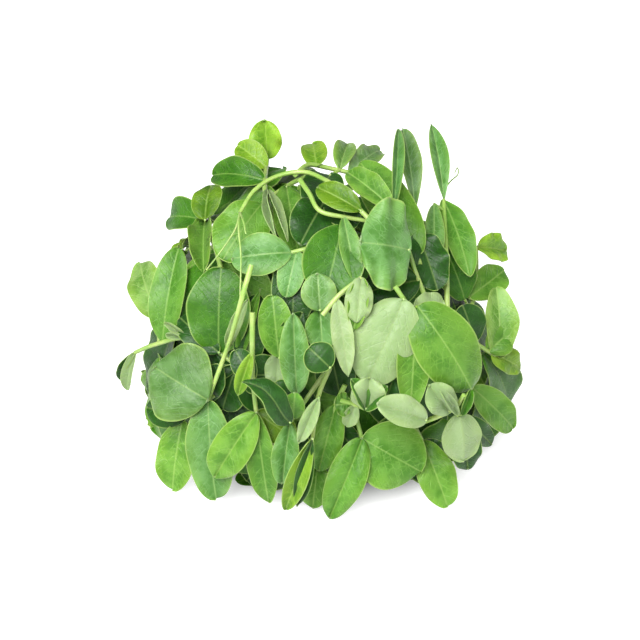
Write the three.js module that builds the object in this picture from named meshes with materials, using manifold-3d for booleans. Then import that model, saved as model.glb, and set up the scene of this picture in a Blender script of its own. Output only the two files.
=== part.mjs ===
// A loose heap of cut pea shoots lying on a flat surface, at its real size in millimetres.
// +X is to the viewer's right, +Y is away from the viewer and +Z is up. The origin is on the
// surface, under the middle of the heap. Every shoot is one solid: its stem, leaf stalks,
// leaflets and tendrils are grown together, and it lies on the shoots put down before it.
import * as THREE from "three";
import { mergeVertices } from "three/addons/utils/BufferGeometryUtils.js";
import Module from "manifold-3d";

const wasm = await Module();
wasm.setup();

// Driving dimensions
const heap = { halfWidth: 71, halfDepth: 66, height: 91 };
const face = { halfWidth: 96, halfDepth: 68, height: 104 };
const stem = { radius: 1.3, sides: 5, step: 10 };
const stalk = { radius: 0.8, sides: 3, step: 9 };
const tendril = { radius: 0.5, sides: 3, step: 3.6 };
const blade = { thickness: 1.2, arch: 0.07, sinks: [1.2, 1.4, 1, 1.6, 0.8] };
const seamTolerance = 0.15;
const air = { between: 0.7, overFloor: 0.7, overBedLeaf: 1.9, overBedStem: 3.4, core: 18 };
const bed = {
  count: 5, from: 14, to: 44, leafLength: 24, leafWidth: 14, lean: 0.75, centreLeafWidth: 22,
};

// The viewer looks down at the heap by this angle, from this far, at this point of the
// upright plane through the heap's middle (across, up).
const viewer = { lookDown: THREE.MathUtils.degToRad(32), distance: 800, aim: [-2, 32] };
const across = new THREE.Vector3(1, 0, 0);
const upward = new THREE.Vector3(0, Math.sin(viewer.lookDown), Math.cos(viewer.lookDown));
const toward = new THREE.Vector3(0, -Math.cos(viewer.lookDown), Math.sin(viewer.lookDown));
const vertical = new THREE.Vector3(0, 0, 1);

// Park and Miller's generator, so that the heap falls the same way every time
let drawn = 11;
function draw(low, high) {
  drawn = (drawn * 16807) % 2147483647;
  return low + ((high - low) * drawn) / 2147483647;
}

// The shoots that the viewer sees, the lowest first. Places are [across, up, nearer] in
// millimetres: across and up in the plane facing the viewer, nearer in front of the heap's skin.
const seenShoots = [
  { name: "shoot_top_left_back", stem: [[-20, 70, -22], [-24, 84, -22], [-23, 97, -22]], leaves: [
    { base: [-23, 97, -22], tip: [-24, 112, -24], width: 14.5, fold: 25 },
    { base: [-23.5, 94, -22], tip: [-35, 102, -20], width: 11, fold: 15 },
    { base: [-24, 90, -20], tip: [-45, 90, -12], width: 13.5, fold: 20, arch: 0.12 }] },
  { name: "shoot_left_upper", stem: [[-40, 46, -6], [-43, 58, -8], [-48, 72, -8]], leaves: [
    { base: [-48, 72, -8], tip: [-45.5, 85.5, -10], width: 12 },
    { base: [-48, 72, -8], tip: [-62.5, 73, -4], width: 14.5, fold: 20, arch: 0.12 },
    { base: [-48, 72, -8], tip: [-48.5, 51, 0], width: 13.5, fold: 50 }] },
  { name: "shoot_behind_left", stem: [[-6, 90, -8], [-14.5, 86, -6], [-25, 79, -4]], leaves: [
    { base: [-25, 79, -4], tip: [-41, 56, -2], width: 20 },
    { base: [-14.5, 86, -4], tip: [-10.5, 57, -2], width: 13.5 },
    { base: [-23, 84, -2], tip: [-19.5, 65, 2], width: 6.5, fold: 68, roll: 20 },
    { base: [-23, 84, -2], tip: [-15, 64, 2], width: 6.5, fold: 66, roll: -15 }] },
  { name: "shoot_top_middle",
    stem: [[-12, 90, -14], [-4, 95, -14], [6, 91, -12], [14, 90, -12]],
    leaves: [
    { base: [-4.5, 95, -14], tip: [-5, 103, -16], width: 10 },
    { base: [4, 91, -12], tip: [9, 102, -12], width: 10, fold: 30 },
    { base: [10, 91, -12], tip: [22, 100, -12], width: 10, fold: 20 },
    { base: [2, 90, -10], tip: [-5, 76, -2], width: 17 }] },
  { name: "shoot_right_back",
    stem: [[48, 24, -8], [54, 30, -14], [60, 42, -16], [60.5, 61, -16]],
    leaves: [
    { base: [60.5, 61, -16], tip: [72, 59.5, -16], width: 12.5, fold: 20 },
    { base: [57.5, 41, -14], tip: [71.8, 52, -14], width: 12.5 },
    { base: [56, 40, -12], tip: [47, 63, -8], width: 15.5 }] },
  { name: "shoot_right_edge", stem: [[52, 29, -8], [60, 23, -8], [65, 19.5, -9], [69, 17, -10]], leaves: [
    { base: [69, 18, -10], tip: [68.5, 45, -12], width: 14.5, fold: 25, arch: 0.1 },
    { base: [67.5, 17.5, -8], tip: [78, 13, -12], width: 10 },
    { base: [60, 22, -8], tip: [55, 38, -4], width: 13.5 },
    { base: [66, 18.8, -7], tip: [74, 27.5, -6], width: 11.5 }] },
  { name: "shoot_left_tall",
    stem: [[-48, 30, -4], [-58, 25, -6], [-67.5, 22.5, -8], [-76, 19, -12]],
    leaves: [
    { base: [-67, 33, -10], tip: [-74, 55, -16], width: 14 },
    { base: [-66, 23, -7], tip: [-58.5, 61, -4], width: 14.5, fold: 12 },
    { base: [-76, 19, -12], tip: [-79, 4, -12], width: 6.5, fold: 45 },
    { base: [-76, 19, -12], tip: [-82, 8, -14], width: 5.5, fold: 50 }] },
  { name: "shoot_right_standing", stem: [[49, 30, 2], [48.5, 56, 0], [47.5, 80, -4]], leaves: [
    { base: [47, 80, -4], tip: [42.5, 110, -8], width: 8.5, fold: 35 },
    { base: [49.5, 79, -4], tip: [58, 49.5, -2], width: 12, fold: 12 },
    { base: [43.5, 78.5, -3], tip: [42.5, 50.5, 3], width: 8, fold: 20 }],
    tendrils: [
      { base: [47.5, 80, -4], along: [[49, 86, -5], [53, 90, -6]], curl: 2 }] },
  { name: "shoot_top_right", stem: [[38, 54, -6], [37, 66, -6], [36, 76, -6]], leaves: [
    { base: [36, 76, -6], tip: [31, 108.5, -8], width: 10.5, fold: 42 },
    { base: [37.5, 60, -4], tip: [14, 95, -4], width: 18 },
    { base: [37, 66, -6], tip: [45, 44, -4], width: 15.5 }] },
  { name: "shoot_dark_middle", stem: [[4, 84, -4], [-2, 80, -4], [-6, 74, -4]], leaves: [
    { base: [-1, 82, -4], tip: [-10, 62, -1], width: 17 },
    { base: [3, 84, -4], tip: [10, 68, -2], width: 13.5 }] },
  { name: "shoot_bright_upper", stem: [[29, 66, -3], [28.5, 71, -3], [26.5, 77, -2]], leaves: [
    { base: [27.5, 76, -6], tip: [29.3, 108.5, -12], width: 6.5, fold: 50 },
    { base: [26.5, 77, -2], tip: [9, 91, -2], width: 11.5, fold: 25 }] },
  { name: "shoot_left_round", stem: [[-30, 10, -2], [-36, 13, -2], [-42.5, 19, -1]], leaves: [
    { base: [-31, 11, -4], tip: [-27, 42, -4], width: 13 },
    { base: [-36, 14, -2], tip: [-26, 44, -1], width: 6.5, fold: 35 },
    { base: [-42.5, 18.5, -3], tip: [-58, 33, -4], width: 11.5 },
    { base: [-42.3, 19, -1], tip: [-41.5, 53, 1], width: 24, fold: 5 },
    { base: [-36, 13.5, -3], tip: [-52, 14.5, -4], width: 14 },
    { base: [-36, 13.5, -2], tip: [-41, -4, -3], width: 15 },
    { base: [-31, 10.8, -2], tip: [-24, -4, -3], width: 13 },
    { base: [-54.5, 24.5, 0], tip: [-64, 31, 1], width: 4.5, fold: 55 },
    { base: [-54.5, 24.5, 0], tip: [-63.5, 26, 1], width: 4.5, fold: 55 }] },
  { name: "shoot_left_grey", stem: [[-1, 62, -1], [-7, 60, -1], [-13.5, 59, 0]], leaves: [
    { base: [-13.5, 59, 0], tip: [-37, 56.5, 2], width: 15.5, fold: 6, arch: 0.1 },
    { base: [-12, 59, -3], tip: [-13, 29, -4], width: 16 },
    { base: [-11.5, 59, -1], tip: [-15.5, 41, 0], width: 10 }] },
  { name: "shoot_centre_upper",
    stem: [[-10, 88, 1], [-6.5, 83, 2], [-2.5, 76, 3], [5, 73.8, 3], [18, 71.5, 2]],
    leaves: [
    { base: [7, 69.8, 1], tip: [0, 41, 1], width: 22.5, fold: 10 },
    { base: [8, 72.5, 4], tip: [12.5, 47, 4], width: 8, fold: 22 }] },
  { name: "shoot_arch",
    stem: [[22, 68, -2], [10, 80, 1], [2, 87, 2], [-10.5, 91.5, 3], [-21.5, 88.5, 3], [-29, 83, 3],
      [-34, 75, 3]],
    leaves: [
    { base: [13, 76, 0], tip: [-3, 85, 0], width: 10, fold: 15 }],
    tendrils: [
      { base: [-34, 75, 3], along: [[-36, 68, 3], [-42, 59, 3], [-47.5, 52, 3]], curl: 0 },
      { base: [-34, 75, 3], along: [[-34.5, 68, 3], [-33.6, 57, 3], [-34, 41, 3]], curl: 0 },
      { base: [-34, 75, 3], along: [[-32.5, 71, 4], [-31.6, 67, 4]], curl: 1.5 }] },
  { name: "shoot_right_upper", stem: [[42, 34, -2], [40.5, 40, -1], [37, 49, 0], [33.5, 60, 1]], leaves: [
    { base: [37.2, 48.5, -2], tip: [16, 43, -4], width: 17 },
    { base: [33.5, 60, 1], tip: [14, 63, 4], width: 35, fold: 8, arch: 0.1 }] },
  { name: "shoot_centre_left", stem: [[-14, 10, -1], [-18, 16, 0], [-24, 40, 0]], leaves: [
    { base: [-15, 11.5, -3], tip: [-35, 10, -4], width: 15 },
    { base: [-18, 17, 0], tip: [-21, 42, 1], width: 12.5 },
    { base: [-18, 17, 0], tip: [-9, 35, 2], width: 11, roll: 15 },
    { base: [-18.7, 18, 0], tip: [-19.5, 5.5, 1], width: 9 }] },
  { name: "shoot_centre_grey", stem: [[2, 20, -1], [0, 28, 0], [-2, 36, 0]], leaves: [
    { base: [2, 20, -2], tip: [6, 2, -3], width: 15 },
    { base: [-2, 36, 0], tip: [-3, 50.5, 2], width: 13, arch: 0.12 },
    { base: [-1.5, 36, 0], tip: [-1, 20, 2], width: 12.5, fold: 20 },
    { base: [0, 28, 0], tip: [8, 18, 1], width: 10 }] },
  { name: "shoot_right_low", stem: [[50, 12, -2], [55, 8, -3], [59, 5, -3]], leaves: [
    { base: [59, 5, -3], tip: [75.5, -11.5, -3], width: 12.5, fold: 8 }] },
  { name: "shoot_right_big",
    stem: [[28, 45.5, 0], [30.5, 41.5, 1], [33, 37.5, 2], [36, 33.5, 3]],
    leaves: [
    { base: [35.5, 32.5, -1], tip: [23, -3, -3], width: 15 },
    { base: [33, 40, 1], tip: [16.5, 6.5, 1], width: 23, fold: -8 },
    { base: [35.5, 33, 4], tip: [34, -4, 4.5], width: 12.5, fold: 12 },
    { base: [36.5, 34, 2], tip: [47, 40, 0], width: 11 },
    { base: [37, 37.5, 5], tip: [58.3, 4.5, 6], width: 23, fold: -6, arch: 0.12 }] },
  { name: "shoot_centre_pale",
    stem: [[-1, 34, 3], [1.5, 36.5, 4], [5, 41, 4], [9, 46, 4], [14.5, 49, 4]],
    leaves: [
    { base: [14.5, 49, 3], tip: [11.5, 28, 3], width: 8, fold: 30 },
    { base: [14.5, 49, 4], tip: [12.5, 31, 5], width: 10 },
    { base: [5.5, 39.5, 3], tip: [9.3, 9.5, 4], width: 8, fold: 15 }] },
  { name: "shoot_left_low", stem: [[-44, 2, -4], [-52, -3, -3], [-57, -8, -2]], leaves: [
    { base: [-57, -8, -2], tip: [-61, -36, 0], width: 15 },
    { base: [-56, -7, -3], tip: [-71, -3, -3], width: 12 },
    { base: [-48, 1, -3], tip: [-42, 14, -2], width: 10 }] },
  { name: "shoot_left_front",
    stem: [[-29.5, 54, 3], [-33.5, 40, 3], [-38, 24, 3], [-46.8, 0, 2]],
    leaves: [
    { base: [-45.5, -1.5, 1], tip: [-43.5, -39.5, 0], width: 18, fold: 8 },
    { base: [-47.5, 1, 2], tip: [-67.8, 13, 2], width: 30.5, fold: -5 },
    { base: [-39.5, 19, 3], tip: [-31, 40, 4], width: 5.5, fold: 40 }] },
  { name: "shoot_left_twin", stem: [[-29, 35, 2], [-29, 11, 2], [-27.5, -5, 2]], leaves: [
    { base: [-27.5, -5, -2], tip: [-12.5, -15, -3], width: 12 },
    { base: [-27.5, -6, 1], tip: [-22.5, -41, 1], width: 11.5, fold: 15 },
    { base: [-27.5, -5.5, 3], tip: [-44, -30.5, 4], width: 15, fold: 8 },
    { base: [-28.8, 8, 2], tip: [-36, 20, 0], width: 9 },
    { base: [-29.5, 20, 0], tip: [-34.8, 2, 1], width: 6, fold: 20 }] },
  { name: "shoot_pointed", stem: [[-13, -4, 1], [-12.2, -1, 1], [-11.3, 2.5, 1]], leaves: [
    { base: [-11.3, 2.5, 1], tip: [-12.7, 34.5, 3], width: 11.5, fold: 16 },
    { base: [-12.2, -1, 1], tip: [-20, 7, 1], width: 9 }] },
  { name: "shoot_right_front_leaf", stem: [[34, -7, 0], [37, -12, 0], [39, -16.5, 0]], leaves: [
    { base: [39, -16.5, 0], tip: [49, -42.5, 0], width: 14.5 },
    { base: [39, -16.5, 0], tip: [48, -24, 1], width: 9 }] },
  { name: "shoot_front_dark", stem: [[8, 6, 0], [5, 0, 0], [2, -8, 0], [-2, -24, 0]], leaves: [
    { base: [2.8, -1, 0], tip: [-2.5, -28, 2], width: 12 },
    { base: [-3, -26, -1], tip: [-5, -43, 0], width: 12 },
    { base: [2, -8, 0], tip: [12, -20, -1], width: 10 }] },
  { name: "shoot_front_curled", stem: [[0, 11, 3], [-7, 1, 3], [-14, -9, 3]], leaves: [
    { base: [-14, -9.5, 3], tip: [-17, -33, 4], width: 10.5, fold: 15 },
    { base: [-14.3, -8, 4], tip: [-33, 7, 6], width: 11, twist: 70, arch: 0.22 },
    { base: [-13, -8, 3], tip: [-12, 3, 4], width: 8 }] },
  { name: "shoot_front_pale", stem: [[2, 13, 4], [-2.5, 2, 4], [-4, -8, 4], [-5, -15.5, 4]], leaves: [
    { base: [2, 13.5, 3], tip: [-6.5, 21, 4], width: 12 },
    { base: [-5, -15.5, 3], tip: [-11, -42, 3], width: 8, fold: 35 },
    { base: [-5.3, -15.5, 5], tip: [-15.8, -44, 5], width: 9.5, fold: 35 },
    { base: [-3.6, 1, 5], tip: [-10.4, -17, 6], width: 6.5, fold: 25 }] },
  { name: "shoot_front_pair", stem: [[11, -2, 2], [13, -8, 3], [14.8, -15.3, 3]], leaves: [
    { base: [14, -16.2, 3], tip: [1.8, -47, 3], width: 14.3, fold: 6 },
    { base: [15.1, -15.4, 4], tip: [38, -28.4, 4], width: 26.5, fold: -5 }],
    tendrils: [
      { base: [14.8, -15.3, 3], along: [[16, -22, 3], [18.5, -30, 3]], curl: 2.5 }] },
  { name: "shoot_cup", stem: [[6, 0, 4], [11, -2, 4], [16.5, -3.5, 4]], leaves: [
    { base: [16.7, -3.5, 4], tip: [17.8, 9, 3], width: 13.5, fold: 20 },
    { base: [16.5, -3.3, 5], tip: [10.5, 8.5, 7], width: 8, fold: 30, roll: 25 },
    { base: [17, -3.3, 5], tip: [25, 5.5, 7], width: 8, fold: 30, roll: -25 },
    { base: [10.5, -1.5, 4], tip: [4, -2, 5], width: 9 },
    { base: [11, -2.5, 4], tip: [8.5, -10.5, 5], width: 6.5, fold: 30 }] },
  { name: "shoot_right_bud", stem: [[38, -9, 5], [44, -7, 6.5], [50.5, -4.5, 7], [55.5, 2, 6]], leaves: [
    { base: [39.5, -7.5, 4], tip: [20.8, -1.5, 5], width: 12, fold: 15, roll: 15 },
    { base: [49.5, -4.5, 4], tip: [41.5, 6, 4], width: 12, fold: 15 },
    { base: [54, -6, 2], tip: [66.5, -17.6, -1], width: 8.5 },
    { base: [54, -6, 2], tip: [57, -27.5, 0], width: 12 },
    { base: [54, -6, 6], tip: [55.6, -24.5, 5], width: 16, fold: -20, arch: 0.12 },
    { base: [53, -6, 6], tip: [45.5, 5.5, 8], width: 5.5, fold: 55 },
    { base: [54.5, -6, 6], tip: [58.5, 4.5, 7], width: 5.5, fold: 55 }] },
];

// The shoots that fill the heap under and behind those, as rings of shoots round it. A ring has a
// share of the heap's size, the bearings and the rises, in degrees, that its shoots start at, and
// what they carry.
const rings = [
  { name: "inner", share: 0.4, count: 3, bearings: [-180, 180], rises: [30, 70],
    length: 46, pairs: 1, leaf: [24, 30] },
  { name: "middle", share: 0.6, count: 4, bearings: [-140, 140], rises: [18, 62],
    length: 60, pairs: 2, leaf: [27, 34] },
  { name: "under", share: 0.85, count: 6, bearings: [-120, 120], rises: [16, 60],
    length: 66, pairs: 2, leaf: [29, 37] },
  { name: "back_low", share: 0.95, count: 5, bearings: [95, 265], rises: [14, 24],
    length: 64, pairs: 2, leaf: [28, 36] },
  { name: "back_high", share: 0.93, count: 4, bearings: [95, 265], rises: [42, 56],
    length: 60, pairs: 2, leaf: [28, 36] },
];

// The skin of the heap is an upright half of an ellipsoid.
const skin = new THREE.Vector3(heap.halfWidth, heap.halfDepth, heap.height);
const faceSkin = new THREE.Vector3(face.halfWidth, face.halfDepth, face.height);

// How high the surface, with the flat shoots on it, stands at a point
function lowestAt(point) {
  const far = Math.hypot(point.x, point.y);
  if (far > bed.to + bed.leafLength) return air.overFloor;
  return far > bed.to + 3 ? air.overBedLeaf : air.overBedStem;
}

// The way from a place of the upright plane to the viewer's eye, for each millimetre nearer
function rayAt(u, v) {
  return toward.clone()
    .addScaledVector(across, -(u - viewer.aim[0]) / viewer.distance)
    .addScaledVector(upward, -(v - viewer.aim[1]) / viewer.distance);
}

function placeOf(point) {
  const shrink = 1 - point.dot(toward) / viewer.distance;
  return [
    viewer.aim[0] + (point.dot(across) - viewer.aim[0]) / shrink,
    viewer.aim[1] + (point.dot(upward) - viewer.aim[1]) / shrink,
  ];
}

// The point of the skin, or just off its outline, that the viewer sees at a place
function seen([u, v, nearer = 0]) {
  const start = across.clone().multiplyScalar(u).addScaledVector(upward, v);
  const ray = rayAt(u, v);
  const s = start.clone().divide(faceSkin);
  const r = ray.clone().divide(faceSkin);
  const a = r.dot(r);
  const b = s.dot(r);
  const c = s.dot(s) - 1;
  const w = (-b + Math.sqrt(Math.max(0, b * b - a * c))) / a + nearer;
  const point = start.clone().addScaledVector(ray, w);
  const low = lowestAt(point) + 1.3;
  if (point.z < low) point.addScaledVector(ray, (low - point.z) / ray.z);
  return point;
}

// A point at a bearing and a rise over the surface, in degrees, on a share of the skin
function onSkin(bearing, rise, share) {
  const b = THREE.MathUtils.degToRad(bearing);
  const r = THREE.MathUtils.degToRad(rise);
  const way = new THREE.Vector3(Math.cos(r) * Math.sin(b), -Math.cos(r) * Math.cos(b), Math.sin(r));
  return way.multiplyScalar(share / way.clone().divide(skin).length());
}

// Two maps of what has been put down so far. One tells how far out the heap reaches in each
// direction from the origin, on an equal-area map of the directions. The other tells how far it
// reaches toward the viewer at each place that the viewer sees.
const outMap = {
  cells: 112,
  cellAt(point) {
    const far = point.length();
    const k = (37 * Math.sqrt(2 / (1 + point.z / far))) / far;
    return [Math.round(point.x * k) + 56, Math.round(point.y * k) + 56];
  },
  heightOf: (point) => point.length(),
  push: (point, by) => point.clone().multiplyScalar(1 + by / point.length()),
  offFloor: (point, low) => point.clone().setZ(Math.max(point.z, low)),
};
const faceMap = {
  cells: 160,
  cellAt(point) {
    const [u, v] = placeOf(point);
    return [Math.round(u / 1.6) + 80, Math.round((v - 30) / 1.6) + 80];
  },
  heightOf: (point) => point.dot(toward),
  push: (point, by) => point.clone().addScaledVector(rayAt(...placeOf(point)), by),
  offFloor: (point, low) => faceMap.push(point, Math.max(0, low - point.z) / toward.z),
};
outMap.top = new Float64Array(outMap.cells ** 2).fill(air.core);
faceMap.top = new Float64Array(faceMap.cells ** 2).fill(-200);

function topAt(map, point) {
  const [i, j] = map.cellAt(point);
  let most = -Infinity;
  for (let a = -1; a <= 1; a++)
    for (let b = -1; b <= 1; b++) most = Math.max(most, map.top[(j + b) * map.cells + i + a]);
  return most;
}

function putDown(point, halfThick) {
  for (const map of [outMap, faceMap]) {
    const [i, j] = map.cellAt(point);
    const at = j * map.cells + i;
    map.top[at] = Math.max(map.top[at], map.heightOf(point) + halfThick);
  }
}

// How far a sample must be lifted to lie clear of what is below it
function shortOf(map, point, halfThick) {
  return Math.max(0, topAt(map, point) + halfThick + air.between - map.heightOf(point));
}

// Lifts are widened and then averaged over the same number of neighbours, so that they are smooth
// and never too small.
function smoothed(lifts, widen) {
  const near = (list, i) => list.slice(Math.max(0, i - widen), i + widen + 1);
  const wide = lifts.map((_, i) => Math.max(...near(lifts, i)));
  return lifts.map((_, i) => near(wide, i).reduce((sum, x) => sum + x, 0) / near(wide, i).length);
}

// A path through its places, lifted clear of what lies below it
function layPath(map, places, radius) {
  const curve = new THREE.CatmullRomCurve3(places, false, "catmullrom");
  const planned = curve.getSpacedPoints(Math.max(4, Math.round(curve.getLength() / 2)))
    .map((p) => map.offFloor(p, lowestAt(p) + radius));
  const lifts = smoothed(planned.map((p) => shortOf(map, p, radius)), 5);
  return { planned, lifts, laid: planned.map((p, i) => map.push(p, lifts[i])) };
}

// The corners of the tube that follows a path
function cornersOf(points, step) {
  const curve = new THREE.CatmullRomCurve3(points, false, "catmullrom");
  return curve.getSpacedPoints(Math.max(1, Math.round(curve.getLength() / step)));
}

function nearestOn(corners, point) {
  const line = new THREE.Line3();
  let best = corners[0];
  for (let i = 1; i < corners.length; i++) {
    const on = line.set(corners[i - 1], corners[i]).closestPointToPoint(point, true, new THREE.Vector3());
    if (on.distanceTo(point) < best.distanceTo(point)) best = on;
  }
  return best;
}

// A leaflet leaves its base along an axis, and its face turns to the outside of the heap. It bends
// along its length to lie over what is below it.
function settleLeaf(map, leaf, base, tip) {
  const axis = tip.clone().sub(base);
  const length = axis.length();
  axis.normalize();
  const out = base.clone().lerp(tip, 0.5).normalize();
  const normal = out.multiplyScalar(1 - leaf.toViewer).addScaledVector(toward, leaf.toViewer);
  normal.addScaledVector(axis, -normal.dot(axis)).normalize();
  normal.applyAxisAngle(axis, THREE.MathUtils.degToRad(leaf.roll ?? 0));
  const side = axis.clone().cross(normal);
  const rows = Math.max(6, Math.round(length / 2));
  const made = { ...leaf, map, base, axis, length, normal, side, lifts: new Array(rows + 1).fill(0) };
  const columns = columnsOf(made);
  const short = made.lifts.map((_, i) =>
    Math.max(...columns.map((t) => shortOf(map, leafPoint(made, i / rows, t), blade.thickness / 2))));
  made.lifts = smoothed(short, Math.round(rows * 0.35));
  return made;
}

function columnsOf(leaf) {
  const half = Math.max(2, Math.round(leaf.width / 4));
  return Array.from({ length: 2 * half + 1 }, (_, j) => j / half - 1);
}

// The outline is a broad oval, with its widest part a little below the middle.
function halfWidthAt(leaf, s) {
  return (leaf.width / 2) * Math.sin(Math.PI * s ** 0.88) ** 0.62;
}

// A point of a leaflet's middle face: s runs from base to tip, and t from edge to edge
function leafPoint(leaf, s, t) {
  const turn = THREE.MathUtils.degToRad(leaf.twist ?? 0) * s;
  const side = leaf.side.clone().applyAxisAngle(leaf.axis, turn);
  const normal = leaf.normal.clone().applyAxisAngle(leaf.axis, turn);
  const fold = THREE.MathUtils.degToRad(leaf.fold ?? 6);
  const half = halfWidthAt(leaf, s);
  const arch = (leaf.arch ?? blade.arch) * leaf.length * 4 * s * (1 - s);
  const point = leaf.base.clone()
    .addScaledVector(leaf.axis, leaf.length * s)
    .addScaledVector(side, t * half * Math.cos(fold))
    .addScaledVector(normal, arch + Math.abs(t) * half * Math.sin(fold));
  if (leaf.flat) return point;
  const at = s * (leaf.lifts.length - 1);
  const i = Math.min(Math.floor(at), leaf.lifts.length - 2);
  const lift = leaf.lifts[i] + (leaf.lifts[i + 1] - leaf.lifts[i]) * (at - i);
  return leaf.map.push(leaf.map.offFloor(point, lowestAt(point) + blade.thickness / 2), lift);
}

function leafSamples(leaf) {
  const rows = leaf.lifts.length - 1;
  const columns = columnsOf(leaf);
  return leaf.lifts.flatMap((_, i) => columns.map((t) => leafPoint(leaf, i / rows, t)));
}

// Lays one shoot on the heap: first its stem, then each leaf on the stem or on a stalk of its own,
// and last its tendrils.
function layShoot(map, plan) {
  const path = layPath(map, plan.stem, stem.radius);
  const shoot = {
    name: plan.name, stem: cornersOf(path.laid, stem.step), stalks: [], leaves: [], tendrils: [],
  };
  const rootOf = (place) => {
    const far = path.planned.map((p) => p.distanceTo(place));
    const i = far.indexOf(Math.min(...far));
    return { on: nearestOn(shoot.stem, path.laid[i]), away: far[i], lift: path.lifts[i] };
  };
  const ends = [];
  const stubs = [];
  for (const leaf of plan.leaves) {
    const root = rootOf(leaf.base);
    let end = ends.find((e) => e.place.distanceTo(leaf.base) < 0.1);
    if (!end && root.away > leaf.reachStalk) {
      const target = map.push(leaf.base, root.lift);
      const laid = layPath(map, [root.on, root.on.clone().lerp(target, 0.5), target], stalk.radius).laid;
      const corners = cornersOf([root.on, ...laid.slice(2)], stalk.step);
      end = { place: leaf.base, at: corners.at(-1) };
      ends.push(end);
      shoot.stalks.push(corners);
    }
    const base = end ? end.at : root.on;
    const settled = settleLeaf(map, leaf, base, map.push(leaf.tip, root.lift));
    if (Math.max(...settled.lifts) > leaf.mostLift) continue;
    shoot.leaves.push(settled);
    if (settled.lifts[0] < 0.4) continue;
    const stub = [base, map.push(base, settled.lifts[0] + blade.thickness / 2)];
    const twin = stubs.findIndex(([at]) => at.distanceTo(base) < 0.1);
    if (twin < 0) stubs.push(stub);
    else if (base.distanceTo(stub[1]) > base.distanceTo(stubs[twin][1])) stubs[twin] = stub;
  }
  shoot.stalks.push(...stubs);
  for (const t of plan.tendrils) {
    const root = rootOf(t.base);
    const laid = layPath(map, [root.on, ...t.along.map((p) => map.push(p, root.lift))], tendril.radius).laid;
    shoot.tendrils.push(cornersOf(curlEnd([root.on, ...laid.slice(2)], t.curl), tendril.step));
  }
  return shoot;
}

function keep(shoot) {
  const put = (corners, radius) => {
    for (const p of cornersOf(corners, 1.5)) putDown(p, radius);
  };
  put(shoot.stem, stem.radius);
  for (const corners of shoot.stalks) put(corners, stalk.radius);
  for (const corners of shoot.tendrils) put(corners, tendril.radius);
  for (const leaf of shoot.leaves) for (const p of leafSamples(leaf)) putDown(p, blade.thickness / 2);
  return shoot;
}

// A tendril's end winds up in a flat spiral of one turn, standing out from the heap.
function curlEnd(path, radius) {
  if (!radius) return path;
  const end = path[path.length - 1];
  const ahead = end.clone().sub(path[path.length - 2]).normalize();
  const out = end.clone().normalize();
  out.addScaledVector(ahead, -out.dot(ahead)).normalize();
  const turns = 9;
  const curled = [...path];
  for (let i = 1; i <= turns; i++) {
    const angle = (i / turns) * 1.6 * Math.PI;
    const r = radius * (1 - (0.5 * i) / turns);
    curled.push(end.clone()
      .addScaledVector(ahead, r * Math.sin(angle))
      .addScaledVector(out, radius - r * Math.cos(angle)));
  }
  return curled;
}

function laySeen(plan) {
  const leaves = plan.leaves.map((leaf) => ({
    ...leaf, base: seen(leaf.base), tip: seen(leaf.tip), toViewer: 0.65, reachStalk: 2.5, mostLift: 99,
  }));
  const tendrils = (plan.tendrils ?? []).map((t) => ({
    base: seen(t.base), along: t.along.map(seen), curl: t.curl,
  }));
  return keep(layShoot(faceMap, { name: plan.name, stem: plan.stem.map(seen), leaves, tendrils }));
}

// A whole shoot as it grows: a stem, pairs of leaflets on short stalks to either side in turn, and
// a folded pair and a tendril at its tip. It starts at a point of the skin and keeps its heading.
function grownPlan(name, bearing, rise, heading, ring) {
  const steps = 5;
  const spread = ring.length / steps;
  const places = [onSkin(bearing, rise, ring.share)];
  const turn = THREE.MathUtils.degToRad(heading);
  const bend = draw(-0.12, 0.12);
  const ways = [];
  for (let i = 0; i < steps; i++) {
    const at = places[i];
    const out = at.clone().normalize();
    const left = vertical.clone().cross(out).normalize();
    const climb = out.clone().cross(left);
    const angle = turn + bend * i;
    const way = left.multiplyScalar(Math.cos(angle)).addScaledVector(climb, Math.sin(angle));
    ways.push(way);
    const next = at.clone().addScaledVector(way, spread);
    next.z = Math.max(next.z, lowestAt(next) + 4);
    places.push(next.multiplyScalar(ring.share / next.clone().divide(skin).length()));
  }
  ways.push(ways[steps - 1]);
  const leaves = [];
  for (let k = 0; k < ring.pairs; k++) {
    const at = steps - 0.4 - k * (steps / (ring.pairs + 0.6));
    const i = Math.floor(at);
    const place = places[i].clone().lerp(places[Math.min(i + 1, steps)], at - i);
    const out = place.clone().normalize();
    const way = ways[i];
    const hand = k % 2 ? 1 : -1;
    const beside = out.clone().cross(way).multiplyScalar(hand);
    const stalkEnd = place.clone().addScaledVector(beside, draw(6, 10)).addScaledVector(way, 4);
    for (const lean of [0.95, -0.35]) {
      const length = draw(ring.leaf[0], ring.leaf[1]);
      const pointing = way.clone().multiplyScalar(lean)
        .addScaledVector(beside, draw(0.6, 0.9)).normalize();
      const tip = stalkEnd.clone().addScaledVector(pointing, length);
      tip.multiplyScalar(ring.share / tip.clone().divide(skin).length());
      tip.addScaledVector(out, draw(-2, 5));
      tip.z = Math.max(tip.z, lowestAt(tip) + 1);
      leaves.push({ base: stalkEnd, tip, width: length * draw(0.6, 0.8), roll: draw(-14, 14),
        fold: draw(-8, 18), arch: draw(0.03, 0.12), toViewer: 0, reachStalk: 1, mostLift: 6 });
    }
  }
  const end = places[steps];
  const last = ways[steps];
  const out = end.clone().normalize();
  const beside = out.clone().cross(last);
  for (const hand of [-1, 1]) {
    const tip = end.clone().addScaledVector(last, draw(10, 14))
      .addScaledVector(beside, hand * draw(2, 5)).addScaledVector(out, 2);
    leaves.push({ base: end, tip, width: draw(6, 9), fold: draw(35, 55),
      toViewer: 0, reachStalk: 4, mostLift: 6 });
  }
  return { name, stem: places, leaves, tendrils: [] };
}

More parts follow.
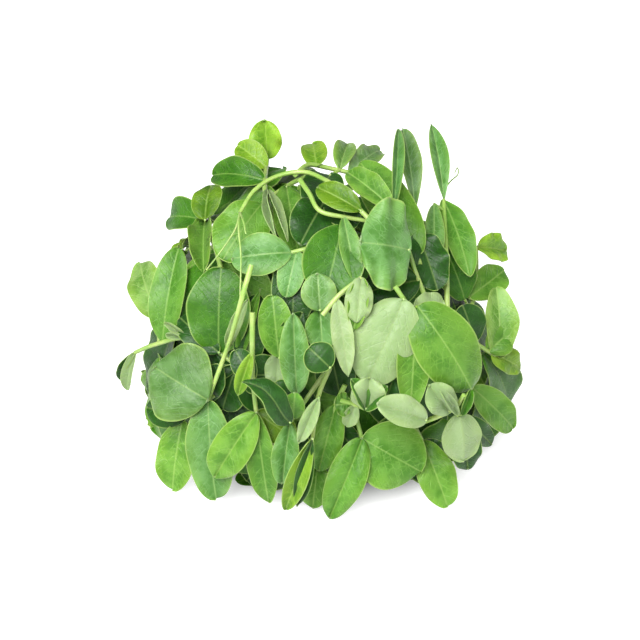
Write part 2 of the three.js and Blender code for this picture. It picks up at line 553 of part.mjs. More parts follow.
// How far out a shoot reaches, as a share of the skin
function spanOf(shoot) {
  const points = [...shoot.stem, ...shoot.leaves.flatMap(leafSamples)];
  return Math.max(...points.map((p) => p.clone().divide(skin).length()));
}

// A ring's shoots are put down one by one. Each is tried along a few headings, and stays along the
// one that leaves it lowest with most of its leaves on.
function layRing(ring) {
  const laid = [];
  const [from, to] = ring.bearings;
  for (let i = 0; i < ring.count; i++) {
    const bearing = from + ((to - from) * (i + 0.5)) / ring.count;
    const tries = [];
    for (let k = 0; k < 6; k++) {
      const name = `shoot_${ring.name}_${i + 1}`;
      const rise = draw(ring.rises[0], ring.rises[1]);
      const plan = grownPlan(name, bearing + draw(-20, 20), rise, 60 * k + draw(-20, 20), ring);
      const shoot = layShoot(outMap, plan);
      tries.push({ shoot, cost: spanOf(shoot) + 0.05 * (plan.leaves.length - shoot.leaves.length) });
    }
    tries.sort((a, b) => a.cost - b.cost);
    laid.push(keep(tries[0].shoot));
  }
  return laid;
}

// The bottom of the heap: shoots that lie flat on the surface, round a broad leaf in its middle
function bedShoot(i) {
  const angle = Math.PI + (2 * Math.PI * i) / bed.count;
  const out = new THREE.Vector3(Math.cos(angle), Math.sin(angle), 0);
  const beside = new THREE.Vector3(-out.y, out.x, 0);
  const at = (far, aside) => out.clone().multiplyScalar(far).addScaledVector(beside, aside);
  const flat = (base, ahead, aside, length, width) => {
    const axis = out.clone().multiplyScalar(ahead).addScaledVector(beside, aside).normalize();
    const normal = vertical.clone();
    const side = axis.clone().cross(normal);
    return { base, axis, normal, side, length, width, fold: 0, arch: 0, flat: true };
  };
  const middle = (bed.from + bed.to) / 2;
  const corners = [at(bed.from, 0), at(middle, 2), at(bed.to, 0)];
  const leaves = [-1, 1].flatMap((hand) => [
    flat(corners[1], bed.lean, hand, bed.leafLength * 0.75, bed.leafWidth * 0.8),
    flat(corners[2], 1, hand * bed.lean, bed.leafLength, bed.leafWidth),
  ]);
  if (i === 0) leaves.push(flat(corners[0], -1, 0, 2 * bed.from, bed.centreLeafWidth));
  return {
    name: `shoot_bed_${i + 1}`,
    stem: corners.map((p) => p.clone().setZ(stem.radius)),
    stalks: [], leaves, tendrils: [],
  };
}

function solidOf(geometry) {
  const bare = geometry.clone();
  bare.deleteAttribute("normal");
  bare.deleteAttribute("uv");
  const merged = mergeVertices(bare, 1e-4);
  const vertProperties = new Float32Array(merged.attributes.position.array);
  const triVerts = new Uint32Array(merged.index.array);
  return new wasm.Manifold(new wasm.Mesh({ numProp: 3, vertProperties, triVerts }));
}

// A round stem, stalk or tendril of a few sides
function tubeSolid(corners, make) {
  const section = new THREE.Shape(Array.from({ length: make.sides }, (_, i) => {
    const angle = (2 * Math.PI * i) / make.sides;
    return new THREE.Vector2(make.radius * Math.cos(angle), make.radius * Math.sin(angle));
  }));
  const extrudePath = new THREE.CatmullRomCurve3(corners, false, "catmullrom");
  const options = { steps: corners.length - 1, extrudePath, bevelEnabled: false };
  return solidOf(new THREE.ExtrudeGeometry(section, options));
}

// Where along a leaflet its corners are: a narrow or hidden one has fewer.
function rowsOf(leaf) {
  if (leaf.width < 11) return [0.28, 0.7];
  if (leaf.width < 18 || !leaf.toViewer) return [0.2, 0.52, 0.84];
  return [0.13, 0.38, 0.66, 0.89];
}

// A leaflet with a thick middle and thin edges. One that lies on the surface has a flat underside.
function leafSolid(leaf, sink) {
  const rows = rowsOf(leaf);
  const over = leaf.flat ? blade.thickness : blade.thickness / 2;
  const under = leaf.flat ? 0 : -blade.thickness / 2;
  const start = leafPoint(leaf, 0, 0);
  const ahead = leafPoint(leaf, rows[0], 0).sub(start).normalize();
  const points = [start.addScaledVector(ahead, -sink).addScaledVector(leaf.normal, leaf.flat ? 0.4 : 0)];
  for (const s of rows) {
    const middle = leafPoint(leaf, s, 0);
    const along = leafPoint(leaf, s + 0.1, 0).sub(leafPoint(leaf, s - 0.1, 0));
    const [left, right] = [leafPoint(leaf, s, -1), leafPoint(leaf, s, 1)];
    const normal = right.clone().sub(left).cross(along).normalize();
    points.push(left, middle.clone().addScaledVector(normal, over));
    points.push(right, middle.clone().addScaledVector(normal, under));
  }
  points.push(leafPoint(leaf, 1, 0));
  const faces = [];
  for (let k = 0; k < 4; k++) {
    const at = (row) => 1 + row * 4 + k;
    const next = (row) => 1 + row * 4 + ((k + 1) % 4);
    faces.push(0, next(0), at(0));
    for (let row = 0; row + 1 < rows.length; row++) {
      if (k % 2 === 0) faces.push(at(row), next(row + 1), at(row + 1), at(row), next(row), next(row + 1));
      else faces.push(at(row), next(row), at(row + 1), next(row), next(row + 1), at(row + 1));
    }
    faces.push(points.length - 1, at(rows.length - 1), next(rows.length - 1));
  }
  const geometry = new THREE.BufferGeometry().setFromPoints(points);
  geometry.setIndex(faces);
  return solidOf(geometry);
}

function geometryOf(solid) {
  const mesh = solid.getMesh();
  return new THREE.BufferGeometry()
    .setAttribute("position", new THREE.BufferAttribute(new Float32Array(mesh.vertProperties), 3))
    .setIndex(new THREE.BufferAttribute(new Uint32Array(mesh.triVerts), 1));
}

// How thin the thinnest face of a body is, with corners that share a place counted as one. A body
// with an edge that doesn't join two faces counts as having none.
function thinnestFace(geometry) {
  const merged = mergeVertices(geometry, 1e-4);
  const index = merged.index.array;
  const uses = new Map();
  const face = new THREE.Triangle();
  let thinnest = Infinity;
  for (let i = 0; i < index.length; i += 3) {
    const corners = [index[i], index[i + 1], index[i + 2]];
    if (new Set(corners).size < 3) continue;
    face.setFromAttributeAndIndices(merged.attributes.position, ...corners);
    const { a, b, c } = face;
    const longest = Math.max(a.distanceTo(b), b.distanceTo(c), c.distanceTo(a));
    thinnest = Math.min(thinnest, (2 * face.getArea()) / longest);
    for (let k = 0; k < 3; k++) {
      const edge = [corners[k], corners[(k + 1) % 3]].sort((m, n) => m - n).join();
      uses.set(edge, (uses.get(edge) ?? 0) + 1);
    }
  }
  return [...uses.values()].every((count) => count === 2) ? thinnest : 0;
}

// One closed body. The seams between its parts are simplified, and the closed hollows that the
// parts leave between them are filled. The leaflets' bases are sunk by the depth that leaves the
// seams cleanest.
function shootGeometry(shoot) {
  const tubes = [
    tubeSolid(shoot.stem, stem),
    ...shoot.stalks.map((corners) => tubeSolid(corners, stalk)),
    ...shoot.tendrils.map((corners) => tubeSolid(corners, tendril)),
  ];
  const made = blade.sinks.map((sink) => {
    const leaves = shoot.leaves.map((leaf) => leafSolid(leaf, sink));
    const joined = wasm.Manifold.union([...tubes, ...leaves]).asOriginal().simplify(seamTolerance);
    const bodies = joined.decompose().sort((a, b) => b.volume() - a.volume());
    const geometry = geometryOf(bodies[0]);
    return { geometry, thinnest: thinnestFace(geometry) };
  });
  made.sort((a, b) => b.thinnest - a.thinnest);
  if (!made[0].thinnest) throw new Error(`${shoot.name} doesn't close`);
  return made[0].geometry;
}

const shoots = [
  ...Array.from({ length: bed.count }, (_, i) => bedShoot(i)),
  ...rings.flatMap(layRing),
  ...seenShoots.map(laySeen),
];

const leafGreen = new THREE.MeshStandardMaterial({ color: 0x4f8f3a, roughness: 0.55, metalness: 0 });
const group = new THREE.Group();
for (const shoot of shoots) {
  const mesh = new THREE.Mesh(shootGeometry(shoot), leafGreen.clone());
  mesh.name = shoot.name;
  group.add(mesh);
}

export default group;
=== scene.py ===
# A loose heap of cut pea shoots. The shoots are laid in the way of the part's solids, in
# millimetres, and each is then grown as fine leaflets, stems and tendrils in metres.
import math

import bpy
import numpy as np
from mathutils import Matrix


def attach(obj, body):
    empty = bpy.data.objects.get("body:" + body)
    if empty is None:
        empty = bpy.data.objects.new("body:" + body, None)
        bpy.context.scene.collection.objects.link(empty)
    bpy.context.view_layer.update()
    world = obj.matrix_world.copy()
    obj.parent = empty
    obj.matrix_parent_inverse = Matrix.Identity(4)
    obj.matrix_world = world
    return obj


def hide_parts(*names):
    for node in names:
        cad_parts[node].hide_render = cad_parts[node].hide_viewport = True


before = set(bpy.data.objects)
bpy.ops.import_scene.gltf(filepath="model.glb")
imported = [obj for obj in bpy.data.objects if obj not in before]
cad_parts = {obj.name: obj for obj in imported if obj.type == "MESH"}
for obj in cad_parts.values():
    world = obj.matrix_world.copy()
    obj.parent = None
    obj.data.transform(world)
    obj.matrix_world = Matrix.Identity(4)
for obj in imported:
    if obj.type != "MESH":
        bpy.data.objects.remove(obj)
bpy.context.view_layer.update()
mm = 0.001

heap = {"halfWidth": 71, "halfDepth": 66, "height": 91}
face = {"halfWidth": 96, "halfDepth": 68, "height": 104}
stem = {"radius": 1.3, "step": 10}
stalk = {"radius": 0.8, "step": 9}
tendril = {"radius": 0.5, "step": 3.6, "curlSteps": 9, "curlTurn": 1.6, "tighten": 0.5}
blade = {"thickness": 1.2, "arch": 0.07, "fold": 6, "widest": 0.88, "blunt": 0.62}
air = {"between": 0.7, "overFloor": 0.7, "overBedLeaf": 1.9, "overBedStem": 3.4, "core": 18}
bed = {"count": 5, "from": 14, "to": 44, "leafLength": 24, "leafWidth": 14, "lean": 0.75,
       "centreLeafWidth": 22}
viewer = {"lookDown": math.radians(32), "distance": 800, "aim": (-2, 32)}

across = np.array([1.0, 0, 0])
upward = np.array([0, math.sin(viewer["lookDown"]), math.cos(viewer["lookDown"])])
toward = np.array([0, -math.cos(viewer["lookDown"]), math.sin(viewer["lookDown"])])
vertical = np.array([0, 0, 1.0])


def leaf(base, tip, width, tone="mid", **more):
    return {"base": base, "tip": tip, "width": width, "tone": tone, **more}


# The shoots that the viewer sees, the lowest first. Places are (across, up, nearer) in
# millimetres: across and up in the plane facing the viewer, nearer in front of the heap's skin.
seenShoots = {
    "shoot_top_left_back": {"stem": [(-20, 70, -22), (-24, 84, -22), (-23, 97, -22)], "leaves": [
        leaf((-23, 97, -22), (-24, 112, -24), 14.5, "sunny", fold=25),
        leaf((-23.5, 94, -22), (-35, 102, -20), 11, "lime", fold=15),
        leaf((-24, 90, -20), (-45, 90, -12), 13.5, "deep", fold=20, arch=0.12)]},
    "shoot_left_upper": {"stem": [(-40, 46, -6), (-43, 58, -8), (-48, 72, -8)], "leaves": [
        leaf((-48, 72, -8), (-45.5, 85.5, -10), 12, "olive"),
        leaf((-48, 72, -8), (-62.5, 73, -4), 14.5, "deep", fold=20, arch=0.12),
        leaf((-48, 72, -8), (-48.5, 51, 0), 13.5, "mid", fold=50)]},
    "shoot_behind_left": {"stem": [(-6, 90, -8), (-14.5, 86, -6), (-25, 79, -4)], "leaves": [
        leaf((-25, 79, -4), (-41, 56, -2), 20, "bright"),
        leaf((-14.5, 86, -4), (-10.5, 57, -2), 13.5, "mid"),
        leaf((-23, 84, -2), (-19.5, 65, 2), 6.5, "pale", fold=68, roll=20),
        leaf((-23, 84, -2), (-15, 64, 2), 6.5, "pale", fold=66, roll=-15)]},
    "shoot_top_middle": {"stem": [(-12, 90, -14), (-4, 95, -14), (6, 91, -12), (14, 90, -12)],
        "leaves": [
        leaf((-4.5, 95, -14), (-5, 103, -16), 10, "lime"),
        leaf((4, 91, -12), (9, 102, -12), 10, "light", fold=30),
        leaf((10, 91, -12), (22, 100, -12), 10, "silver", fold=20),
        leaf((2, 90, -10), (-5, 76, -2), 17, "dark")]},
    "shoot_right_back": {"stem": [(48, 24, -8), (54, 30, -14), (60, 42, -16), (60.5, 61, -16)],
        "leaves": [
        leaf((60.5, 61, -16), (72, 59.5, -16), 12.5, "sunny", fold=20),
        leaf((57.5, 41, -14), (71.8, 52, -14), 12.5, "bright"),
        leaf((56, 40, -12), (47, 63, -8), 15.5, "deep")]},
    "shoot_right_edge": {"stem": [(52, 29, -8), (60, 23, -8), (65, 19.5, -9), (69, 17, -10)],
        "leaves": [
        leaf((69, 18, -10), (68.5, 45, -12), 14.5, "light", fold=25, arch=0.1),
        leaf((67.5, 17.5, -8), (78, 13, -12), 10, "lime"),
        leaf((60, 22, -8), (55, 38, -4), 13.5, "dark"),
        leaf((66, 18.8, -7), (74, 27.5, -6), 11.5, "bright")]},
    "shoot_left_tall": {"stem": [(-48, 30, -4), (-58, 25, -6), (-67.5, 22.5, -8), (-76, 19, -12)],
        "leaves": [
        leaf((-67, 33, -10), (-74, 55, -16), 14, "light"),
        leaf((-66, 23, -7), (-58.5, 61, -4), 14.5, "mid", fold=12),
        leaf((-76, 19, -12), (-79, 4, -12), 6.5, "pale", fold=45),
        leaf((-76, 19, -12), (-82, 8, -14), 5.5, "dark", fold=50)]},
    "shoot_right_standing": {"stem": [(49, 30, 2), (48.5, 56, 0), (47.5, 80, -4)], "leaves": [
        leaf((47, 80, -4), (42.5, 110, -8), 8.5, "grey", fold=35),
        leaf((49.5, 79, -4), (58, 49.5, -2), 12, "mid", fold=12),
        leaf((43.5, 78.5, -3), (42.5, 50.5, 3), 8, "grey", fold=20)], "tendrils": [
        {"base": (47.5, 80, -4), "along": [(49, 86, -5), (53, 90, -6)], "curl": 2}]},
    "shoot_top_right": {"stem": [(38, 54, -6), (37, 66, -6), (36, 76, -6)], "leaves": [
        leaf((36, 76, -6), (31, 108.5, -8), 10.5, "silver", fold=42),
        leaf((37.5, 60, -4), (14, 95, -4), 18, "mid"),
        leaf((37, 66, -6), (45, 44, -4), 15.5, "dark")]},
    "shoot_dark_middle": {"stem": [(4, 84, -4), (-2, 80, -4), (-6, 74, -4)], "leaves": [
        leaf((-1, 82, -4), (-10, 62, -1), 17, "dark"),
        leaf((3, 84, -4), (10, 68, -2), 13.5, "dark")]},
    "shoot_bright_upper": {"stem": [(29, 66, -3), (28.5, 71, -3), (26.5, 77, -2)], "leaves": [
        leaf((27.5, 76, -6), (29.3, 108.5, -12), 6.5, "grey", fold=50),
        leaf((26.5, 77, -2), (9, 91, -2), 11.5, "bright", fold=25)]},
    "shoot_left_round": {"stem": [(-30, 10, -2), (-36, 13, -2), (-42.5, 19, -1)], "leaves": [
        leaf((-31, 11, -4), (-27, 42, -4), 13, "dark"),
        leaf((-36, 14, -2), (-26, 44, -1), 6.5, "mid", fold=35),
        leaf((-42.5, 18.5, -3), (-58, 33, -4), 11.5, "dark"),
        leaf((-42.3, 19, -1), (-41.5, 53, 1), 24, "deep", fold=5),
        leaf((-36, 13.5, -3), (-52, 14.5, -4), 14, "dark"),
        leaf((-36, 13.5, -2), (-41, -4, -3), 15, "dark"),
        leaf((-31, 10.8, -2), (-24, -4, -3), 13, "dark"),
        leaf((-54.5, 24.5, 0), (-64, 31, 1), 4.5, "pale", fold=55),
        leaf((-54.5, 24.5, 0), (-63.5, 26, 1), 4.5, "pale", fold=55)]},
    "shoot_left_grey": {"stem": [(-1, 62, -1), (-7, 60, -1), (-13.5, 59, 0)], "leaves": [
        leaf((-13.5, 59, 0), (-37, 56.5, 2), 15.5, "grey", fold=6, arch=0.1),
        leaf((-12, 59, -3), (-13, 29, -4), 16, "dark"),
        leaf((-11.5, 59, -1), (-15.5, 41, 0), 10, "grey")]},
    "shoot_centre_upper": {"stem": [(-10, 88, 1), (-6.5, 83, 2), (-2.5, 76, 3), (5, 73.8, 3),
        (18, 71.5, 2)], "leaves": [
        leaf((7, 69.8, 1), (0, 41, 1), 22.5, "deep", fold=10),
        leaf((8, 72.5, 4), (12.5, 47, 4), 8, "grey", fold=22)]},
    "shoot_arch": {"stem": [(22, 68, -2), (10, 80, 1), (2, 87, 2), (-10.5, 91.5, 3),
        (-21.5, 88.5, 3), (-29, 83, 3), (-34, 75, 3)], "leaves": [
        leaf((13, 76, 0), (-3, 85, 0), 10, "olive", fold=15)], "tendrils": [
        {"base": (-34, 75, 3), "along": [(-36, 68, 3), (-42, 59, 3), (-47.5, 52, 3)], "curl": 0},
        {"base": (-34, 75, 3), "along": [(-34.5, 68, 3), (-33.6, 57, 3), (-34, 41, 3)], "curl": 0},
        {"base": (-34, 75, 3), "along": [(-32.5, 71, 4), (-31.6, 67, 4)], "curl": 1.5}]},
    "shoot_right_upper": {"stem": [(42, 34, -2), (40.5, 40, -1), (37, 49, 0), (33.5, 60, 1)],
        "leaves": [
        leaf((37.2, 48.5, -2), (16, 43, -4), 17, "dark"),
        leaf((33.5, 60, 1), (14, 63, 4), 35, "grey", fold=8, arch=0.1)]},
    "shoot_centre_left": {"stem": [(-14, 10, -1), (-18, 16, 0), (-24, 40, 0)], "leaves": [
        leaf((-15, 11.5, -3), (-35, 10, -4), 15, "dark"),
        leaf((-18, 17, 0), (-21, 42, 1), 12.5, "mid"),
        leaf((-18, 17, 0), (-9, 35, 2), 11, "dark", roll=15),
        leaf((-18.7, 18, 0), (-19.5, 5.5, 1), 9, "pale")]},
    "shoot_centre_grey": {"stem": [(2, 20, -1), (0, 28, 0), (-2, 36, 0)], "leaves": [
        leaf((2, 20, -2), (6, 2, -3), 15, "dark"),
        leaf((-2, 36, 0), (-3, 50.5, 2), 13, "silver", arch=0.12),
        leaf((-1.5, 36, 0), (-1, 20, 2), 12.5, "grey", fold=20),
        leaf((0, 28, 0), (8, 18, 1), 10, "deep")]},
    "shoot_right_low": {"stem": [(50, 12, -2), (55, 8, -3), (59, 5, -3)], "leaves": [
        leaf((59, 5, -3), (75.5, -11.5, -3), 12.5, "bright", fold=8)]},
    "shoot_right_big": {"stem": [(28, 45.5, 0), (30.5, 41.5, 1), (33, 37.5, 2), (36, 33.5, 3)],
        "leaves": [
        leaf((35.5, 32.5, -1), (23, -3, -3), 15, "dark"),
        leaf((33, 40, 1), (16.5, 6.5, 1), 23, "pale", fold=-8),
        leaf((35.5, 33, 4), (34, -4, 4.5), 12.5, "mid", fold=12),
        leaf((36.5, 34, 2), (47, 40, 0), 11, "pale"),
        leaf((37, 37.5, 5), (58.3, 4.5, 6), 23, "mid", fold=-6, arch=0.12, raised=2.2)]},
    "shoot_centre_pale": {"stem": [(-1, 34, 3), (1.5, 36.5, 4), (5, 41, 4), (9, 46, 4),
        (14.5, 49, 4)], "leaves": [
        leaf((14.5, 49, 3), (11.5, 28, 3), 8, "mid", fold=30),
        leaf((14.5, 49, 4), (12.5, 31, 5), 10, "pale", raised=1.5),
        leaf((5.5, 39.5, 3), (9.3, 9.5, 4), 8, "chalk", fold=15)]},
    "shoot_left_low": {"stem": [(-44, 2, -4), (-52, -3, -3), (-57, -8, -2)], "leaves": [
        leaf((-57, -8, -2), (-61, -36, 0), 15, "bright"),
        leaf((-56, -7, -3), (-71, -3, -3), 12, "dark"),
        leaf((-48, 1, -3), (-42, 14, -2), 10, "dark")]},
    "shoot_left_front": {"stem": [(-29.5, 54, 3), (-33.5, 40, 3), (-38, 24, 3), (-46.8, 0, 2)],
        "leaves": [
        leaf((-45.5, -1.5, 1), (-43.5, -39.5, 0), 18, "grey", fold=8),
        leaf((-47.5, 1, 2), (-67.8, 13, 2), 30.5, "slate", fold=-5),
        leaf((-39.5, 19, 3), (-31, 40, 4), 5.5, "pale", fold=40)]},
    "shoot_left_twin": {"stem": [(-29, 35, 2), (-29, 11, 2), (-27.5, -5, 2)], "leaves": [
        leaf((-27.5, -5, -2), (-12.5, -15, -3), 12, "olive"),
        leaf((-27.5, -6, 1), (-22.5, -41, 1), 11.5, "mid", fold=15),
        leaf((-27.5, -5.5, 3), (-44, -30.5, 4), 15, "bright", fold=8),
        leaf((-28.8, 8, 2), (-36, 20, 0), 9, "dark"),
        leaf((-29.5, 20, 0), (-34.8, 2, 1), 6, "lime", fold=20)]},
    "shoot_pointed": {"stem": [(-13, -4, 1), (-12.2, -1, 1), (-11.3, 2.5, 1)], "leaves": [
        leaf((-11.3, 2.5, 1), (-12.7, 34.5, 3), 11.5, "grey", fold=16),
        leaf((-12.2, -1, 1), (-20, 7, 1), 9, "dark")]},
    "shoot_right_front_leaf": {"stem": [(34, -7, 0), (37, -12, 0), (39, -16.5, 0)], "leaves": [
        leaf((39, -16.5, 0), (49, -42.5, 0), 14.5, "bright"),
        leaf((39, -16.5, 0), (48, -24, 1), 9, "dark")]},
    "shoot_front_dark": {"stem": [(8, 6, 0), (5, 0, 0), (2, -8, 0), (-2, -24, 0)], "leaves": [
        leaf((2.8, -1, 0), (-2.5, -28, 2), 12, "bright"),
        leaf((-3, -26, -1), (-5, -43, 0), 12, "bright"),
        leaf((2, -8, 0), (12, -20, -1), 10, "dark")]},
    "shoot_front_curled": {"stem": [(0, 11, 3), (-7, 1, 3), (-14, -9, 3)], "leaves": [
        leaf((-14, -9.5, 3), (-17, -33, 4), 10.5, "grey", fold=15),
        leaf((-14.3, -8, 4), (-33, 7, 6), 11, "dark", twist=70, arch=0.22),
        leaf((-13, -8, 3), (-12, 3, 4), 8, "bright")]},
    "shoot_front_pale": {"stem": [(2, 13, 4), (-2.5, 2, 4), (-4, -8, 4), (-5, -15.5, 4)],
        "leaves": [
        leaf((2, 13.5, 3), (-6.5, 21, 4), 12, "dark"),
        leaf((-5, -15.5, 3), (-11, -42, 3), 8, "dark", fold=35),
        leaf((-5.3, -15.5, 5), (-15.8, -44, 5), 9.5, "lime", fold=35),
        leaf((-3.6, 1, 5), (-10.4, -17, 6), 6.5, "pale", fold=25)]},
    "shoot_front_pair": {"stem": [(11, -2, 2), (13, -8, 3), (14.8, -15.3, 3)], "leaves": [
        leaf((14, -16.2, 3), (1.8, -47, 3), 14.3, "mid", fold=6),
        leaf((15.1, -15.4, 4), (38, -28.4, 4), 26.5, "bright", fold=-5)], "tendrils": [
        {"base": (14.8, -15.3, 3), "along": [(16, -22, 3), (18.5, -30, 3)], "curl": 2.5}]},
    "shoot_cup": {"stem": [(6, 0, 4), (11, -2, 4), (16.5, -3.5, 4)], "leaves": [
        leaf((16.7, -3.5, 4), (17.8, 9, 3), 13.5, "pale", fold=20),
        leaf((16.5, -3.3, 5), (10.5, 8.5, 7), 8, "deep", fold=30, roll=25),
        leaf((17, -3.3, 5), (25, 5.5, 7), 8, "deep", fold=30, roll=-25),
        leaf((10.5, -1.5, 4), (4, -2, 5), 9, "mid"),
        leaf((11, -2.5, 4), (8.5, -10.5, 5), 6.5, "pale", fold=30)]},
    "shoot_right_bud": {"stem": [(38, -9, 5), (44, -7, 6.5), (50.5, -4.5, 7), (55.5, 2, 6)],
        "leaves": [
        leaf((39.5, -7.5, 4), (20.8, -1.5, 5), 12, "chalk", fold=15, roll=15),
        leaf((49.5, -4.5, 4), (41.5, 6, 4), 12, "pale", fold=15),
        leaf((54, -6, 2), (66.5, -17.6, -1), 8.5, "dark"),
        leaf((54, -6, 2), (57, -27.5, 0), 12, "dark"),
        leaf((54, -6, 6), (55.6, -24.5, 5), 16, "pale", fold=-20, arch=0.12),
        leaf((53, -6, 6), (45.5, 5.5, 8), 5.5, "pale", fold=55),
        leaf((54.5, -6, 6), (58.5, 4.5, 7), 5.5, "deep", fold=55)]},
}

# The shoots that fill the heap under and behind those, as rings of shoots round it
rings = [
    {"name": "inner", "share": 0.4, "count": 3, "bearings": (-180, 180), "rises": (30, 70),
     "length": 46, "pairs": 1, "leaf": (24, 30)},
    {"name": "middle", "share": 0.6, "count": 4, "bearings": (-140, 140), "rises": (18, 62),
     "length": 60, "pairs": 2, "leaf": (27, 34)},
    {"name": "under", "share": 0.85, "count": 6, "bearings": (-120, 120), "rises": (16, 60),
     "length": 66, "pairs": 2, "leaf": (29, 37)},
    {"name": "back_low", "share": 0.95, "count": 5, "bearings": (95, 265), "rises": (14, 24),
     "length": 64, "pairs": 2, "leaf": (28, 36)},
    {"name": "back_high", "share": 0.93, "count": 4, "bearings": (95, 265), "rises": (42, 56),
     "length": 60, "pairs": 2, "leaf": (28, 36)},
]
skin = np.array([heap["halfWidth"], heap["halfDepth"], heap["height"]], float)
faceSkin = np.array([face["halfWidth"], face["halfDepth"], face["height"]], float)

generator = {"first": 11, "factor": 16807, "modulus": 2147483647}
drawn = [generator["first"]]


def draw(low, high):  # the same generator as in the part, so that the heap falls the same way
    drawn[0] = drawn[0] * generator["factor"] % generator["modulus"]
    return low + (high - low) * drawn[0] / generator["modulus"]


def unit(v):
    return v / np.linalg.norm(v)


def dot(a, b):
    return np.sum(a * b, axis=-1)


# How high the surface, with the flat shoots on it, stands at each point
def lowestAt(p):
    far = np.hypot(p[..., 0], p[..., 1])
    over = np.where(far > bed["to"] + 3, air["overBedLeaf"], air["overBedStem"])
    return np.where(far > bed["to"] + bed["leafLength"], air["overFloor"], over)


# The way from a place of the upright plane to the viewer's eye, for each millimetre nearer
def rayAt(u, v):
    u, v = np.asarray(u)[..., None], np.asarray(v)[..., None]
    return (toward - across * (u - viewer["aim"][0]) / viewer["distance"]
            - upward * (v - viewer["aim"][1]) / viewer["distance"])


def placeOf(p):
    shrink = 1 - p @ toward / viewer["distance"]
    return (viewer["aim"][0] + (p @ across - viewer["aim"][0]) / shrink,
            viewer["aim"][1] + (p @ upward - viewer["aim"][1]) / shrink)


# The point of the skin, or just off its outline, that the viewer sees at a place
def seen(place):
    u, v, nearer = place
    start, ray = across * u + upward * v, rayAt(u, v)
    s, r = start / faceSkin, ray / faceSkin
    a, b, c = dot(r, r), dot(s, r), dot(s, s) - 1
    w = (-b + math.sqrt(max(0, b * b - a * c))) / a + nearer
    point = start + ray * w
    low = lowestAt(point) + 1.3
    if point[2] < low:
        point = point + ray * (low - point[2]) / ray[2]
    return point


# A point at a bearing and a rise over the surface, in degrees, on a share of the skin
def onSkin(bearing, rise, share):
    b, r = math.radians(bearing), math.radians(rise)
    way = np.array([math.cos(r) * math.sin(b), -math.cos(r) * math.cos(b), math.sin(r)])
    return way * share / np.linalg.norm(way / skin)


def rounded(x):
    return np.floor(x + 0.5).astype(int)


outGrid = {"cells": 112, "spread": 37}
faceGrid = {"cells": 160, "step": 1.6, "middle": 30, "empty": -200.0}


def outCell(p):
    far = np.linalg.norm(p, axis=-1)
    k = outGrid["spread"] * np.sqrt(2 / (1 + p[..., 2] / far)) / far
    half = outGrid["cells"] // 2
    return rounded(p[..., 0] * k) + half, rounded(p[..., 1] * k) + half


def faceCell(p):
    u, v = placeOf(p)
    half = faceGrid["cells"] // 2
    return (rounded(u / faceGrid["step"]) + half,
            rounded((v - faceGrid["middle"]) / faceGrid["step"]) + half)


def outPush(p, by):
    return p * (1 + np.asarray(by) / np.linalg.norm(p, axis=-1))[..., None]


def facePush(p, by):
    return p + rayAt(*placeOf(p)) * np.asarray(by)[..., None]


def outOffFloor(p, low):
    p = p.copy()
    p[..., 2] = np.maximum(p[..., 2], low)
    return p


# Two maps of what has been put down so far: how far out the heap reaches in each direction from
# the origin, and how far toward the viewer at each place that the viewer sees.
outMap = {"cellAt": outCell, "heightOf": lambda p: np.linalg.norm(p, axis=-1),
          "push": outPush, "offFloor": outOffFloor,
          "top": np.full((outGrid["cells"], outGrid["cells"]), float(air["core"]))}
faceMap = {"cellAt": faceCell, "heightOf": lambda p: p @ toward, "push": facePush,
           "top": np.full((faceGrid["cells"], faceGrid["cells"]), faceGrid["empty"]),
           "offFloor": lambda p, low: facePush(p, np.maximum(0, low - p[..., 2]) / toward[2])}


def topAt(where, p):
    i, j = where["cellAt"](p)
    return np.max([where["top"][j + b, i + a] for a in (-1, 0, 1) for b in (-1, 0, 1)], axis=0)


def putDown(p, halfThick):
    for where in (outMap, faceMap):
        i, j = where["cellAt"](p)
        np.maximum.at(where["top"], (j, i), where["heightOf"](p) + halfThick)


def shortOf(where, p, halfThick):
    return np.maximum(0, topAt(where, p) + halfThick + air["between"] - where["heightOf"](p))


def smoothed(lifts, widen):
    def near(values, i):
        return values[max(0, i - widen):i + widen + 1]
    wide = [max(near(lifts, i)) for i in range(len(lifts))]
    return np.array([sum(near(wide, i)) / len(near(wide, i)) for i in range(len(lifts))])


# Points spaced evenly along the smooth curve through some places
def spaced(places, parts):
    places = np.asarray(places, float)
    ends = np.vstack([2 * places[0] - places[1], places, 2 * places[-1] - places[-2]])

    def at(t):
        t = np.asarray(t) * (len(places) - 1)
        i = np.minimum(np.floor(t).astype(int), len(places) - 2)
        w = (t - i)[:, None]
        p0, p1, p2, p3 = (ends[i + k] for k in range(4))
        t0, t1 = 0.5 * (p2 - p0), 0.5 * (p3 - p1)
        return (p1 + t0 * w + (-3 * p1 + 3 * p2 - 2 * t0 - t1) * w * w
                + (2 * p1 - 2 * p2 + t0 + t1) * w * w * w)

    steps = np.linalg.norm(np.diff(at(np.arange(201) / 200), axis=0), axis=1)
    lengths = np.concatenate([[0], np.cumsum(steps)])
    if callable(parts):
        parts = parts(lengths[-1])
    target = np.arange(parts + 1) / parts * lengths[-1]
    i = np.clip(np.searchsorted(lengths, target, side="right") - 1, 0, 199)
    return at((i + (target - lengths[i]) / (lengths[i + 1] - lengths[i])) / 200)


def layPath(where, places, radius):
    planned = spaced(places, lambda length: max(4, int(rounded(length / 2))))
    planned = where["offFloor"](planned, lowestAt(planned) + radius)
    lifts = smoothed(shortOf(where, planned, radius), 5)
    return {"planned": planned, "lifts": lifts, "laid": where["push"](planned, lifts)}


def cornersOf(points, step):
    return spaced(points, lambda length: max(1, int(rounded(length / step))))


def nearestOn(corners, point):
    best = corners[0]
    for a, b in zip(corners[:-1], corners[1:]):
        on = a + (b - a) * min(1, max(0, dot(point - a, b - a) / dot(b - a, b - a)))
        if np.linalg.norm(on - point) < np.linalg.norm(best - point):
            best = on
    return best


